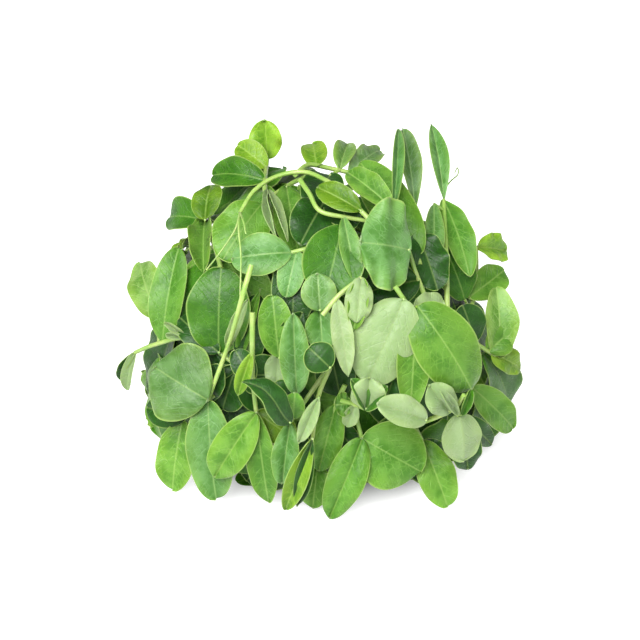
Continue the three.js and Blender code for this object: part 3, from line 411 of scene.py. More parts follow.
# A leaflet leaves its base along an axis, and its face turns to the outside of the heap. It bends
# along its length to lie over what is below it.
def settleLeaf(where, plan, base, tip):
    axis = tip - base
    length = np.linalg.norm(axis)
    axis = axis / length
    normal = unit((base + tip) / 2) * (1 - plan["toViewer"]) + toward * plan["toViewer"]
    normal = unit(normal - axis * dot(normal, axis))
    roll = math.radians(plan.get("roll", 0))
    normal = normal * math.cos(roll) + np.cross(axis, normal) * math.sin(roll)
    rows = max(6, int(rounded(length / 2)))
    made = {**plan, "where": where, "base": base, "axis": axis, "length": length,
            "normal": normal, "side": np.cross(axis, normal), "lifts": np.zeros(rows + 1)}
    s, t = np.meshgrid(np.arange(rows + 1) / rows, columnsOf(made), indexing="ij")
    short = shortOf(where, leafPoint(made, s, t), blade["thickness"] / 2).max(axis=1)
    made["lifts"] = smoothed(short, int(rounded(rows * 0.35)))
    return made


def columnsOf(made):
    half = max(2, int(rounded(made["width"] / 4)))
    return np.arange(2 * half + 1) / half - 1


def halfWidthAt(made, s):
    return made["width"] / 2 * np.sin(np.pi * s ** blade["widest"]) ** blade["blunt"]


# A point of a leaflet's middle face: s runs from base to tip, and t from edge to edge
def leafPoint(made, s, t):
    turn = math.radians(made.get("twist", 0)) * s[..., None]
    side = made["side"] * np.cos(turn) - made["normal"] * np.sin(turn)
    normal = made["normal"] * np.cos(turn) + made["side"] * np.sin(turn)
    fold = math.radians(made.get("fold", blade["fold"]))
    half = halfWidthAt(made, s)
    arch = made.get("arch", blade["arch"]) * made["length"] * 4 * s * (1 - s)
    point = (made["base"] + made["axis"] * (made["length"] * s)[..., None]
             + side * (t * half * math.cos(fold))[..., None]
             + normal * (arch + np.abs(t) * half * math.sin(fold))[..., None])
    if made.get("flat"):
        return point
    at = s * (len(made["lifts"]) - 1)
    i = np.minimum(np.floor(at).astype(int), len(made["lifts"]) - 2)
    lift = made["lifts"][i] + (made["lifts"][i + 1] - made["lifts"][i]) * (at - i)
    where = made["where"]
    return where["push"](where["offFloor"](point, lowestAt(point) + blade["thickness"] / 2), lift)


def leafSamples(made):
    rows = len(made["lifts"]) - 1
    s, t = np.meshgrid(np.arange(rows + 1) / rows, columnsOf(made), indexing="ij")
    return leafPoint(made, s.ravel(), t.ravel())


# Lays one shoot on the heap: first its stem, then each leaf on the stem or on a stalk of its own,
# and last its tendrils.
def layShoot(where, plan):
    path = layPath(where, plan["stem"], stem["radius"])
    shoot = {"name": plan["name"], "stem": cornersOf(path["laid"], stem["step"]),
             "stalks": [], "stubs": [], "leaves": [], "tendrils": []}

    def rootOf(place):
        far = np.linalg.norm(path["planned"] - place, axis=1)
        i = int(np.argmin(far))
        return nearestOn(shoot["stem"], path["laid"][i]), far[i], path["lifts"][i]

    ends = []
    for one in plan["leaves"]:
        on, away, lift = rootOf(one["base"])
        end = next((at for place, at in ends if np.linalg.norm(place - one["base"]) < 0.1), None)
        if end is None and away > one["reachStalk"]:
            target = where["push"](one["base"], lift)
            laid = layPath(where, [on, on + (target - on) * 0.5, target], stalk["radius"])["laid"]
            corners = cornersOf([on, *laid[2:]], stalk["step"])
            end = corners[-1]
            ends.append((one["base"], end))
            shoot["stalks"].append(corners)
        base = on if end is None else end
        settled = settleLeaf(where, one, base, where["push"](one["tip"], lift))
        if max(settled["lifts"]) > one["mostLift"]:
            continue
        shoot["leaves"].append(settled)
        if settled["lifts"][0] < 0.4:
            continue
        stub = [base, where["push"](base, settled["lifts"][0] + blade["thickness"] / 2)]
        twin = next((k for k, (at, _) in enumerate(shoot["stubs"])
                     if np.linalg.norm(at - base) < 0.1), None)
        if twin is None:
            shoot["stubs"].append(stub)
        elif np.linalg.norm(stub[1] - base) > np.linalg.norm(shoot["stubs"][twin][1] - base):
            shoot["stubs"][twin] = stub
    for one in plan["tendrils"]:
        on, _, lift = rootOf(one["base"])
        along = [where["push"](p, lift) for p in one["along"]]
        laid = layPath(where, [on, *along], tendril["radius"])["laid"]
        shoot["tendrils"].append(cornersOf(curlEnd([on, *laid[2:]], one["curl"]), tendril["step"]))
    return shoot


def keep(shoot):
    kinds = (([shoot["stem"]], stem), (shoot["stalks"] + shoot["stubs"], stalk),
             (shoot["tendrils"], tendril))
    for paths, kind in kinds:
        for corners in paths:
            putDown(cornersOf(corners, 1.5), kind["radius"])
    for made in shoot["leaves"]:
        putDown(leafSamples(made), blade["thickness"] / 2)
    return shoot


# A tendril's end winds up in a flat spiral, standing out from the heap.
def curlEnd(path, radius):
    if not radius:
        return path
    end = path[-1]
    ahead = unit(end - path[-2])
    out = unit(end)
    out = unit(out - ahead * dot(out, ahead))
    curled = list(path)
    steps = tendril["curlSteps"]
    for i in range(1, steps + 1):
        angle = i / steps * tendril["curlTurn"] * math.pi
        r = radius * (1 - tendril["tighten"] * i / steps)
        curled.append(end + ahead * r * math.sin(angle) + out * (radius - r * math.cos(angle)))
    return curled


def laySeen(name, plan):
    leaves = [{**one, "base": seen(one["base"]), "tip": seen(one["tip"]), "toViewer": 0.65,
               "reachStalk": 2.5, "mostLift": 99} for one in plan["leaves"]]
    tendrils = [{"base": seen(one["base"]), "along": [seen(p) for p in one["along"]],
                 "curl": one["curl"]} for one in plan.get("tendrils", [])]
    return keep(layShoot(faceMap, {"name": name, "stem": [seen(p) for p in plan["stem"]],
                                   "leaves": leaves, "tendrils": tendrils}))


growth = {"steps": 5, "bend": (-0.12, 0.12), "stalk": (6, 10), "leans": (0.95, -0.35),
          "aside": (0.6, 0.9), "standOff": (-2, 5), "broad": (0.6, 0.8), "roll": (-14, 14),
          "fold": (-8, 18), "arch": (0.03, 0.12), "tipLength": (10, 14), "tipAside": (2, 5),
          "tipWidth": (6, 9), "tipFold": (35, 55)}


# A whole shoot as it grows: a stem, pairs of leaflets on short stalks to either side in turn, and
# a folded pair at its tip. It starts at a point of the skin and keeps its heading.
def grownPlan(name, bearing, rise, heading, ring):
    steps = growth["steps"]
    spread = ring["length"] / steps
    places = [onSkin(bearing, rise, ring["share"])]
    turn = math.radians(heading)
    bend = draw(*growth["bend"])
    ways = []
    for i in range(steps):
        at = places[i]
        out = unit(at)
        left = unit(np.cross(vertical, out))
        climb = np.cross(out, left)
        angle = turn + bend * i
        ways.append(left * math.cos(angle) + climb * math.sin(angle))
        ahead = at + ways[-1] * spread
        ahead[2] = max(ahead[2], lowestAt(ahead) + 4)
        places.append(ahead * ring["share"] / np.linalg.norm(ahead / skin))
    ways.append(ways[-1])
    leaves = []
    for k in range(ring["pairs"]):
        at = steps - 0.4 - k * (steps / (ring["pairs"] + 0.6))
        i = math.floor(at)
        place = places[i] + (places[min(i + 1, steps)] - places[i]) * (at - i)
        out = unit(place)
        way = ways[i]
        beside = np.cross(out, way) * (1 if k % 2 else -1)
        stalkEnd = place + beside * draw(*growth["stalk"]) + way * 4
        for lean in growth["leans"]:
            length = draw(*ring["leaf"])
            tip = stalkEnd + unit(way * lean + beside * draw(*growth["aside"])) * length
            tip = tip * ring["share"] / np.linalg.norm(tip / skin)
            tip = tip + out * draw(*growth["standOff"])
            tip[2] = max(tip[2], lowestAt(tip) + 1)
            leaves.append({
                "base": stalkEnd, "tip": tip, "width": length * draw(*growth["broad"]),
                **{key: draw(*growth[key]) for key in ("roll", "fold", "arch")},
                "toViewer": 0, "reachStalk": 1, "mostLift": 6})
    end, last = places[steps], ways[steps]
    out = unit(end)
    beside = np.cross(out, last)
    for hand in (-1, 1):
        tip = (end + last * draw(*growth["tipLength"])
               + beside * hand * draw(*growth["tipAside"]) + out * 2)
        leaves.append({"base": end, "tip": tip, "width": draw(*growth["tipWidth"]),
                       "fold": draw(*growth["tipFold"]), "toViewer": 0, "reachStalk": 4,
                       "mostLift": 6, "bud": True})
    return {"name": name, "stem": places, "leaves": leaves, "tendrils": []}


def spanOf(shoot):
    points = np.vstack([shoot["stem"], *[leafSamples(made) for made in shoot["leaves"]]])
    return np.linalg.norm(points / skin, axis=1).max()


# A ring's shoots are put down one by one. Each is tried along a few headings, and stays along the
# one that leaves it lowest with most of its leaves on.
def layRing(ring):
    laid = []
    first, last = ring["bearings"]
    for i in range(ring["count"]):
        bearing = first + (last - first) * (i + 0.5) / ring["count"]
        tries = []
        for k in range(6):
            rise = draw(*ring["rises"])
            aside = draw(-20, 20)
            plan = grownPlan(f"shoot_{ring['name']}_{i + 1}", bearing + aside, rise,
                             60 * k + draw(-20, 20), ring)
            shoot = layShoot(outMap, plan)
            dropped = len(plan["leaves"]) - len(shoot["leaves"])
            tries.append((spanOf(shoot) + 0.05 * dropped, k, shoot))
        laid.append(keep(min(tries, key=lambda made: made[:2])[2]))
    return laid


# The bottom of the heap: shoots that lie flat on the surface, round a broad leaf in its middle
def bedShoot(i):
    angle = math.pi + 2 * math.pi * i / bed["count"]
    out = np.array([math.cos(angle), math.sin(angle), 0])
    beside = np.array([-out[1], out[0], 0])

    def flat(base, ahead, aside, length, width):
        axis = unit(out * ahead + beside * aside)
        return {"base": base, "axis": axis, "normal": vertical, "side": np.cross(axis, vertical),
                "length": length, "width": width, "fold": 0, "arch": 0, "flat": True}

    middle = (bed["from"] + bed["to"]) / 2
    corners = [out * bed["from"], out * middle + beside * 2, out * bed["to"]]
    leaves = []
    for hand in (-1, 1):
        leaves += [flat(corners[1], bed["lean"], hand, bed["leafLength"] * 0.75,
                        bed["leafWidth"] * 0.8),
                   flat(corners[2], 1, hand * bed["lean"], bed["leafLength"], bed["leafWidth"])]
    if i == 0:
        leaves.append(flat(corners[0], -1, 0, 2 * bed["from"], bed["centreLeafWidth"]))
    return {"name": f"shoot_bed_{i + 1}", "stem": [p + vertical * stem["radius"] for p in corners],
            "stalks": [], "stubs": [], "leaves": leaves, "tendrils": []}


shoots = [bedShoot(i) for i in range(bed["count"])]
for ring in rings:
    shoots += layRing(ring)
shoots += [laySeen(name, plan) for name, plan in seenShoots.items()]
print("laid", len(shoots), "shoots with", sum(len(shoot["leaves"]) for shoot in shoots), "leaflets")

# More leaflets on the hidden stems close the heap's inside: some are spread evenly over an inner
# dome, and some lie close under the shoots that the viewer sees
inside = {"domes": [{"count": 110, "share": (0.5, 0.75), "bearings": (0, 360)},
                    {"count": 70, "share": (0.95, 1.1), "bearings": (-72, 72)}],
          "rises": (12, 84), "step": 137.5, "near": 0.955, "under": (0.86, 0.93),
          "length": (25, 33), "broad": (0.7, 0.9), "turn": (-75, 75), "fold": (-4, 12),
          "arch": (0.02, 0.12), "low": 3}


def insideShoots():
    hosts = [shoot for shoot in shoots if any(ring["name"] in shoot["name"] for ring in rings)]
    owners = np.repeat(np.arange(len(hosts)), [len(host["stem"]) for host in hosts])
    places = np.vstack([host["stem"] for host in hosts])
    more = {host["name"]: {"leaves": [], "stalks": [], "stubs": [], "tendrils": []}
            for host in hosts}
    least, most = (math.sin(math.radians(rise)) for rise in inside["rises"])
    covers = np.vstack([leafSamples(made) for shoot in shoots if shoot["name"] in seenShoots
                        for made in shoot["leaves"]])
    coversFar = np.linalg.norm(covers, axis=1)
    for dome, i in ((dome, i) for dome in inside["domes"] for i in range(dome["count"])):
        rise = math.degrees(math.asin(least + (most - least) * (i + 0.5) / dome["count"]))
        first, last = dome["bearings"]
        bearing = first + (inside["step"] * i) % 360 * (last - first) / 360
        middle = onSkin(bearing, rise, draw(*dome["share"]))
        covering = coversFar[covers @ unit(middle) > coversFar * inside["near"]]
        if covering.size:
            middle = unit(middle) * min(np.linalg.norm(middle),
                                        covering.min() * draw(*inside["under"]))
        elif dome["share"][1] > 1:
            continue
        out = unit(middle / skin ** 2)
        down = unit(out * out[2] - vertical)
        turn = math.radians(draw(*inside["turn"]))
        axis = down * math.cos(turn) + np.cross(out, down) * math.sin(turn)
        length = draw(*inside["length"])
        half = axis * length / 2
        middle = middle + vertical * max(0, inside["low"] - (middle - abs(half))[2])
        base = middle - half
        near = int(np.argmin(np.linalg.norm(places - base, axis=1)))
        made = more[hosts[owners[near]]["name"]]
        made["stalks"].append([places[near], (places[near] + base) / 2 - out * 2, base])
        made["leaves"].append({
            "base": base, "axis": axis, "normal": out, "side": np.cross(axis, out),
            "length": length, "width": length * draw(*inside["broad"]),
            "fold": draw(*inside["fold"]), "arch": draw(*inside["arch"]), "flat": True})
    return [{"name": name + "_inside", "host": name, "stem": made["stalks"].pop(0), **made}
            for name, made in more.items() if made["leaves"]]


fill = insideShoots()
shoots += fill
print("filled with", sum(len(shoot["leaves"]) for shoot in fill), "leaflets")


def plug(tree, value, socket):
    if isinstance(value, bpy.types.NodeSocket):
        tree.links.new(value, socket)
    else:
        socket.default_value = value


def addNode(tree, kind, values=None, **settings):
    node = tree.nodes.new(kind)
    for name, value in settings.items():
        setattr(node, name, value)
    for key, value in (values or {}).items():
        plug(tree, value, node.inputs[key])
    return node


def calc(tree, operation, *values):
    node = addNode(tree, "ShaderNodeMath", dict(enumerate(values)), operation=operation)
    return node.outputs[0]


def vectorCalc(tree, operation, *values, scale=None):
    node = addNode(tree, "ShaderNodeVectorMath", dict(enumerate(values)), operation=operation)
    if scale is not None:
        plug(tree, scale, node.inputs["Scale"])
    return node.outputs["Value" if operation in ("DOT_PRODUCT", "LENGTH") else "Vector"]


def newTree(name, kind, inputs, outputs):
    tree = bpy.data.node_groups.new(name, kind)
    for direction, sockets in (("INPUT", inputs), ("OUTPUT", outputs)):
        for label, socket, *default in sockets:
            made = tree.interface.new_socket(label, in_out=direction,
                                             socket_type="NodeSocket" + socket)
            if default:
                made.default_value = default[0]
    return tree, tree.nodes.new("NodeGroupInput").outputs, tree.nodes.new("NodeGroupOutput").inputs


def partsOf(tree, vector):
    return addNode(tree, "ShaderNodeSeparateXYZ", {0: vector}).outputs


def vectorOf(tree, *parts):
    return addNode(tree, "ShaderNodeCombineXYZ", dict(enumerate(parts))).outputs[0]


def placeIn(tree):
    return tree.nodes.new("GeometryNodeInputPosition").outputs[0]


def readField(tree, name, kind="FLOAT_VECTOR"):
    return addNode(tree, "GeometryNodeInputNamedAttribute", {"Name": name},
                   data_type=kind).outputs["Attribute"]


def storeField(tree, geometry, name, value, kind="FLOAT", domain="POINT"):
    return addNode(tree, "GeometryNodeStoreNamedAttribute",
                   {"Geometry": geometry, "Name": name, "Value": value},
                   data_type=kind, domain=domain).outputs[0]


def mergeNear(tree, geometry, distance):
    return addNode(tree, "GeometryNodeMergeByDistance",
                   {"Geometry": geometry, "Distance": distance}).outputs[0]


sharpEdge = 1.0  # the angle between two faces, in radians, from which their edge is crisp


# The end of both trees: smooth but for the sharp edges, made real, and with a material
def endTree(tree, body, given, result):
    smooth = addNode(tree, "GeometryNodeSetShadeSmooth",
                     {"Geometry": body, "Shade Smooth": True}, domain="FACE").outputs[0]
    corner = tree.nodes.new("GeometryNodeInputMeshEdgeAngle").outputs["Unsigned Angle"]
    crisp = addNode(tree, "GeometryNodeSetShadeSmooth", {
        "Geometry": smooth, "Selection": calc(tree, "GREATER_THAN", corner, sharpEdge),
        "Shade Smooth": False}, domain="EDGE").outputs[0]
    whole = addNode(tree, "GeometryNodeRealizeInstances", {0: crisp}).outputs[0]
    finished = addNode(tree, "GeometryNodeSetMaterial",
                       {"Geometry": whole, "Material": given["Material"]}).outputs[0]
    tree.links.new(finished, result["Geometry"])
    return tree


leaflet = {
    "seenMesh": (36, 17), "hiddenMesh": (26, 13), "evenRows": 0.3, "crowding": 1.25,
    "thickness": 0.3, "crease": 0.22, "ribWidth": 0.9, "ribDepth": 0.22,
    "ripple": (0.3, 1.5), "turns": (1.0, 3.0), "sideShift": 0.37, "cup": (-0.8, 1.3),
    "fullSize": 18, "slenderFrom": 0.45, "slenderOver": 0.2, "point": (0.12, 0.7),
    "outline": (0.9, 1.14), "roundness": (0.45, 0.72), "lift": 0.3, "raiseOver": 0.2,
    "shade": (0.95, 1.06), "redness": (0.94, 1.06), "blueness": (0.9, 1.1),
}


# Grows leaflets over their bones: each bone is a row of a leaflet, with the way to either edge.
def bladeTree():
    tree, given, result = newTree("grow_blades", "GeometryNodeTree", [
        ("Geometry", "Geometry"), ("Rows", "Int", 26), ("Columns", "Int", 13),
        ("Thickness", "Float", 0.0003), ("Crease", "Float", 0.2), ("Rib Width", "Float", 0.0009),
        ("Rib Depth", "Float", 0.0002), ("Material", "Material")], [("Geometry", "Geometry")])
    bones = given["Geometry"]
    count = addNode(tree, "GeometryNodeAttributeDomainSize", {0: bones}).outputs["Point Count"]
    points = addNode(tree, "GeometryNodePoints", {
        "Count": calc(tree, "DIVIDE", count, given["Rows"]), "Position": (0, 0, 0)})
    sheet = addNode(tree, "GeometryNodeMeshGrid", {
        "Size X": 2.0, "Size Y": 1.0, "Vertices X": given["Columns"], "Vertices Y": given["Rows"]})
    sheets = addNode(tree, "GeometryNodeInstanceOnPoints", {
        "Points": points.outputs[0], "Instance": sheet.outputs["Mesh"]})
    index = tree.nodes.new("GeometryNodeInputIndex").outputs[0]
    marked = storeField(tree, sheets.outputs[0], "sheetIndex", index, "INT", "INSTANCE")
    real = addNode(tree, "GeometryNodeRealizeInstances", {0: marked}).outputs[0]

    place = partsOf(tree, placeIn(tree))
    row = calc(tree, "ROUND", calc(tree, "MULTIPLY", calc(tree, "ADD", place["Y"], 0.5),
                                   calc(tree, "SUBTRACT", given["Rows"], 1)))
    bone = calc(tree, "ADD", calc(tree, "MULTIPLY", readField(tree, "sheetIndex", "INT"),
                                  given["Rows"]), row)

    def sampled(name):
        value = placeIn(tree) if name == "position" else readField(tree, name)
        return addNode(tree, "GeometryNodeSampleIndex",
                       {"Geometry": bones, "Value": value, "Index": bone},
                       data_type="FLOAT_VECTOR", domain="POINT").outputs["Value"]

    facing = sampled("facing")
    shape, ripple, manner = (partsOf(tree, sampled(name)) for name in ("shape", "ripple", "manner"))
    # the columns stand closer near the midrib
    aside = calc(tree, "POWER", calc(tree, "ABSOLUTE", place["X"]), leaflet["crowding"])
    isLeft = calc(tree, "LESS_THAN", place["X"], 0.0)
    toEdge = addNode(tree, "GeometryNodeSwitch", {
        "Switch": isLeft, "False": sampled("toRight"), "True": sampled("toLeft")},
        input_type="VECTOR").outputs[0]
    # the crease along the midrib is rounded
    crease = given["Crease"]

    def soft(x):
        squares = calc(tree, "ADD", calc(tree, "POWER", x, 2.0), calc(tree, "POWER", crease, 2.0))
        return calc(tree, "SUBTRACT", calc(tree, "SQRT", squares), crease)

    rise = vectorCalc(tree, "DOT_PRODUCT", toEdge, facing)
    eased = calc(tree, "SUBTRACT", calc(tree, "DIVIDE", soft(aside), soft(1.0)), aside)
    high = calc(tree, "MULTIPLY", rise, eased)
    bowl = calc(tree, "MULTIPLY", calc(tree, "SUBTRACT", aside, calc(tree, "POWER", aside, 2.0)),
                calc(tree, "MULTIPLY", manner["X"], 4.0))
    angle = calc(tree, "ADD", calc(tree, "MULTIPLY", ripple["Y"], shape["Z"]),
                 calc(tree, "ADD", ripple["Z"],
                      calc(tree, "MULTIPLY", isLeft, leaflet["sideShift"])))
    wave = calc(tree, "MULTIPLY", calc(tree, "SINE", calc(tree, "MULTIPLY", angle, math.tau)),
                calc(tree, "MULTIPLY", ripple["X"], calc(tree, "POWER", aside, 2.0)))
    off = calc(tree, "DIVIDE", calc(tree, "MULTIPLY", aside, shape["Y"]), given["Rib Width"])
    fading = calc(tree, "EXPONENT", calc(tree, "MULTIPLY", off, calc(tree, "MULTIPLY", off, -1.0)))
    rib = calc(tree, "MULTIPLY", fading, calc(tree, "MULTIPLY", given["Rib Depth"], -1.0))
    high = calc(tree, "ADD", calc(tree, "ADD", high, bowl), calc(tree, "ADD", wave, rib))
    high = calc(tree, "ADD", high, calc(tree, "MULTIPLY", given["Thickness"], 0.5))
    target = vectorCalc(tree, "ADD", sampled("position"), vectorCalc(
        tree, "ADD", vectorCalc(tree, "SCALE", toEdge, scale=aside),
        vectorCalc(tree, "SCALE", facing, scale=high)))
    beside = calc(tree, "MULTIPLY", calc(tree, "SIGN", place["X"]),
                  calc(tree, "MULTIPLY", aside, shape["Y"]))
    # everything that the finish reads is kept before the rows are moved
    named = real
    for name, value, kind in (
            ("bladePlace", vectorOf(tree, beside, shape["X"], 0.0), "FLOAT_VECTOR"),
            ("edge", aside, "FLOAT"), ("along", shape["Z"], "FLOAT"),
            ("seed", manner["Z"], "FLOAT"), ("turnedOver", manner["Y"], "FLOAT"),
            ("tint", sampled("tint"), "FLOAT_VECTOR"), ("target", target, "FLOAT_VECTOR")):
        named = storeField(tree, named, name, value, kind)
    moved = addNode(tree, "GeometryNodeSetPosition",
                    {"Geometry": named, "Position": readField(tree, "target")})
    merged = mergeNear(tree, moved.outputs[0], 0.00002)
    # a second face below the first, joined to it round the margin
    below = addNode(tree, "GeometryNodeExtrudeMesh", {
        "Mesh": merged, "Offset Scale": calc(tree, "MULTIPLY", given["Thickness"], -1.0),
        "Individual": False}, mode="FACES")
    under = storeField(tree, below.outputs["Mesh"], "under", below.outputs["Top"], domain="FACE")
    turned = addNode(tree, "GeometryNodeFlipFaces", {"Mesh": under}).outputs[0]
    both = tree.nodes.new("GeometryNodeJoinGeometry")
    tree.links.new(merged, both.inputs[0])
    tree.links.new(turned, both.inputs[0])
    closed = mergeNear(tree, both.outputs[0], 0.00001)
    for name in ("target", "sheetIndex"):
        closed = addNode(tree, "GeometryNodeRemoveAttribute",
                         {"Geometry": closed, "Name": name}).outputs[0]
    return endTree(tree, closed, given, result)


tube = {"sides": 12, "ridges": 4.0, "ridge": 0.07, "spacing": 1.2, "stem": (0.74, 0.58),
        "stalk": (0.85, 0.65), "stub": (0.8, 0.5), "tendril": (0.9, 0.45)}


# Grows stems, stalks and tendrils along their bones.
def tubeTree():
    tree, given, result = newTree("grow_tubes", "GeometryNodeTree", [
        ("Geometry", "Geometry"), ("Sides", "Int", 12), ("Ridge", "Float", 0.07),
        ("Material", "Material")], [("Geometry", "Geometry")])
    curve = addNode(tree, "GeometryNodeMeshToCurve", {"Mesh": given["Geometry"]}).outputs[0]
    girth = readField(tree, "girth", "FLOAT")
    ring = addNode(tree, "GeometryNodeCurvePrimitiveCircle",
                   {"Resolution": given["Sides"], "Radius": 1.0}).outputs["Curve"]
    place = placeIn(tree)
    parts = partsOf(tree, place)
    around = calc(tree, "ARCTAN2", parts["Y"], parts["X"])
    swell = calc(tree, "ADD", calc(tree, "MULTIPLY", calc(tree, "COSINE", calc(
        tree, "MULTIPLY", around, tube["ridges"])), given["Ridge"]), 1.0)
    ring = addNode(tree, "GeometryNodeSetPosition", {
        "Geometry": ring, "Position": vectorCalc(tree, "SCALE", place, scale=swell)}).outputs[0]
    body = addNode(tree, "GeometryNodeCurveToMesh", {
        "Curve": curve, "Profile Curve": ring, "Scale": girth, "Fill Caps": True}).outputs[0]
    return endTree(tree, body, given, result)


def mapped(tree, value, low, high, least=0.0, most=1.0, easing="SMOOTHSTEP"):
    return addNode(tree, "ShaderNodeMapRange", {
        "Value": value, "From Min": low, "From Max": high, "To Min": least, "To Max": most},
        interpolation_type=easing).outputs["Result"]


vein = {"strayScale": 130.0, "stray": 1.5, "curve": 40.0, "sideShift": 0.45, "netWobble": 0.002,
        "netScale": 430.0, "netWidth": 0.13, "fadeScale": 240.0, "fade": (0.36, 0.6, 0.15, 1.0),
        "midribWidth": 0.00055, "height": 0.6, "netHeight": 0.3}


# The veins of a leaflet, from its own flat coordinates in metres: x from the midrib, y from the
# base.
def veinGroup():
    tree, given, result = newTree("leaf_veins", "ShaderNodeTree", [
        ("Place", "Vector"), ("Seed", "Float", 0.0), ("Spacing", "Float", 0.004),
        ("Slant", "Float", 0.9), ("Width", "Float", 0.11)],
        [("Veins", "Float"), ("Net", "Float"), ("Midrib", "Float"), ("Height", "Float")])
    parts = partsOf(tree, given["Place"])
    aside = calc(tree, "ABSOLUTE", parts["X"])
    spot = vectorOf(tree, parts["X"], parts["Y"], given["Seed"])
    drift = addNode(tree, "ShaderNodeTexNoise",
                    {"Vector": spot, "Scale": vein["strayScale"], "Detail": 2.0})
    strayed = calc(tree, "MULTIPLY", calc(tree, "SUBTRACT", drift.outputs["Fac"], 0.5),
                   vein["stray"])
    # lateral veins leave the midrib aslant and bend towards the tip
    climb = calc(tree, "MULTIPLY", aside, calc(tree, "ADD", given["Slant"],
                 calc(tree, "MULTIPLY", aside, vein["curve"])))
    phase = calc(tree, "ADD", calc(tree, "DIVIDE", calc(tree, "SUBTRACT", parts["Y"], climb),
                                   given["Spacing"]), strayed)
    hand = calc(tree, "MULTIPLY", calc(tree, "GREATER_THAN", parts["X"], 0.0), vein["sideShift"])
    cycle = calc(tree, "FRACT", calc(tree, "ADD", phase, hand))
    gap = calc(tree, "ABSOLUTE", calc(tree, "SUBTRACT", cycle, 0.5))
    veins = mapped(tree, gap, given["Width"], 0.0)
    bent = vectorCalc(tree, "ADD", spot, vectorCalc(tree, "SCALE", drift.outputs["Color"],
                                                    scale=vein["netWobble"]))
    net = addNode(tree, "ShaderNodeTexVoronoi", {"Vector": bent, "Scale": vein["netScale"]},
                  feature="DISTANCE_TO_EDGE").outputs["Distance"]
    net = mapped(tree, net, vein["netWidth"], 0.0)
    # the veins fade and come back along their way
    faint = addNode(tree, "ShaderNodeTexNoise",
                    {"Vector": spot, "Scale": vein["fadeScale"], "Detail": 1.0})
    faint = mapped(tree, faint.outputs["Fac"], *vein["fade"], easing="LINEAR")
    veins, net = calc(tree, "MULTIPLY", veins, faint), calc(tree, "MULTIPLY", net, faint)
    height = calc(tree, "SUBTRACT", 1.0, calc(
        tree, "ADD", calc(tree, "MULTIPLY", veins, vein["height"]),
        calc(tree, "MULTIPLY", net, vein["netHeight"])))
    midrib = mapped(tree, aside, vein["midribWidth"], 0.0)
    for name, value in (("Veins", veins), ("Net", net), ("Midrib", midrib), ("Height", height)):
        plug(tree, value, result[name])
    return tree


# Soft patches of lighter and darker colour
def mottleGroup():
    tree, given, result = newTree("soft_mottling", "ShaderNodeTree", [
        ("Place", "Vector"), ("Coarse", "Float", 120.0), ("Fine", "Float", 900.0)],
        [("Patches", "Float"), ("Grain", "Float")])
    coarse = addNode(tree, "ShaderNodeTexNoise", {
        "Vector": given["Place"], "Scale": given["Coarse"], "Detail": 3.0, "Roughness": 0.55})
    fine = addNode(tree, "ShaderNodeTexNoise", {
        "Vector": given["Place"], "Scale": given["Fine"], "Detail": 2.0})
    plug(tree, coarse.outputs["Fac"], result["Patches"])
    plug(tree, fine.outputs["Fac"], result["Grain"])
    return tree


def mixed(tree, amount, first, second, blend="MIX"):
    node = addNode(tree, "ShaderNodeMix", {}, data_type="RGBA", blend_type=blend)
    sockets = [s for s in node.inputs if s.enabled]
    for socket, value in zip(sockets, (amount, first, second)):
        plug(tree, value, socket)
    return next(s for s in node.outputs if s.enabled)


def attribute(tree, name, output="Fac"):
    return addNode(tree, "ShaderNodeAttribute", attribute_name=name).outputs[output]


def newMaterial(name):
    material = bpy.data.materials.new(name)
    material.use_nodes = True
    tree = material.node_tree
    return material, tree, tree.nodes["Principled BSDF"]


def setInputs(shader, values):
    for name, value in values.items():
        shader.inputs[name].default_value = value


leafFinish = {
    "leaf": {"rough": (0.36, 0.52), "specular": 0.2, "subsurface": 0.2, "bump": 0.5,
             "sheen": 0.02},
    "young_leaf": {"rough": (0.42, 0.58), "specular": 0.2, "subsurface": 0.3, "bump": 0.35,
                   "sheen": 0.04},
}
leafLook = {  # factors on a leaflet's tint, linear colours, and how much of each shows
    "paleFactor": (1.7, 1.45, 1.9, 1), "deepFactor": (0.52, 0.68, 0.35, 1), "deep": (0.4, 0.6),
    "outerFactor": (1.6, 1.3, 0.7, 1), "outer": (0.35, 1.0, 0.0, 0.35), "net": 0.3, "veins": 0.36,
    "midribColour": (0.20, 0.28, 0.08, 1), "midribOwn": 0.5, "midrib": 0.6,
    "marginColour": (0.20, 0.29, 0.07, 1), "margin": (0.93, 1.0, 0.0, 0.75),
    "underColour": (0.185, 0.26, 0.115, 1), "under": 0.62,
    "underMidribColour": (0.11, 0.17, 0.05, 1), "underMidrib": 0.5,
    "grain": (0.35, 0.7), "grainHeight": 0.25, "bumpHeight": 0.0004,
}


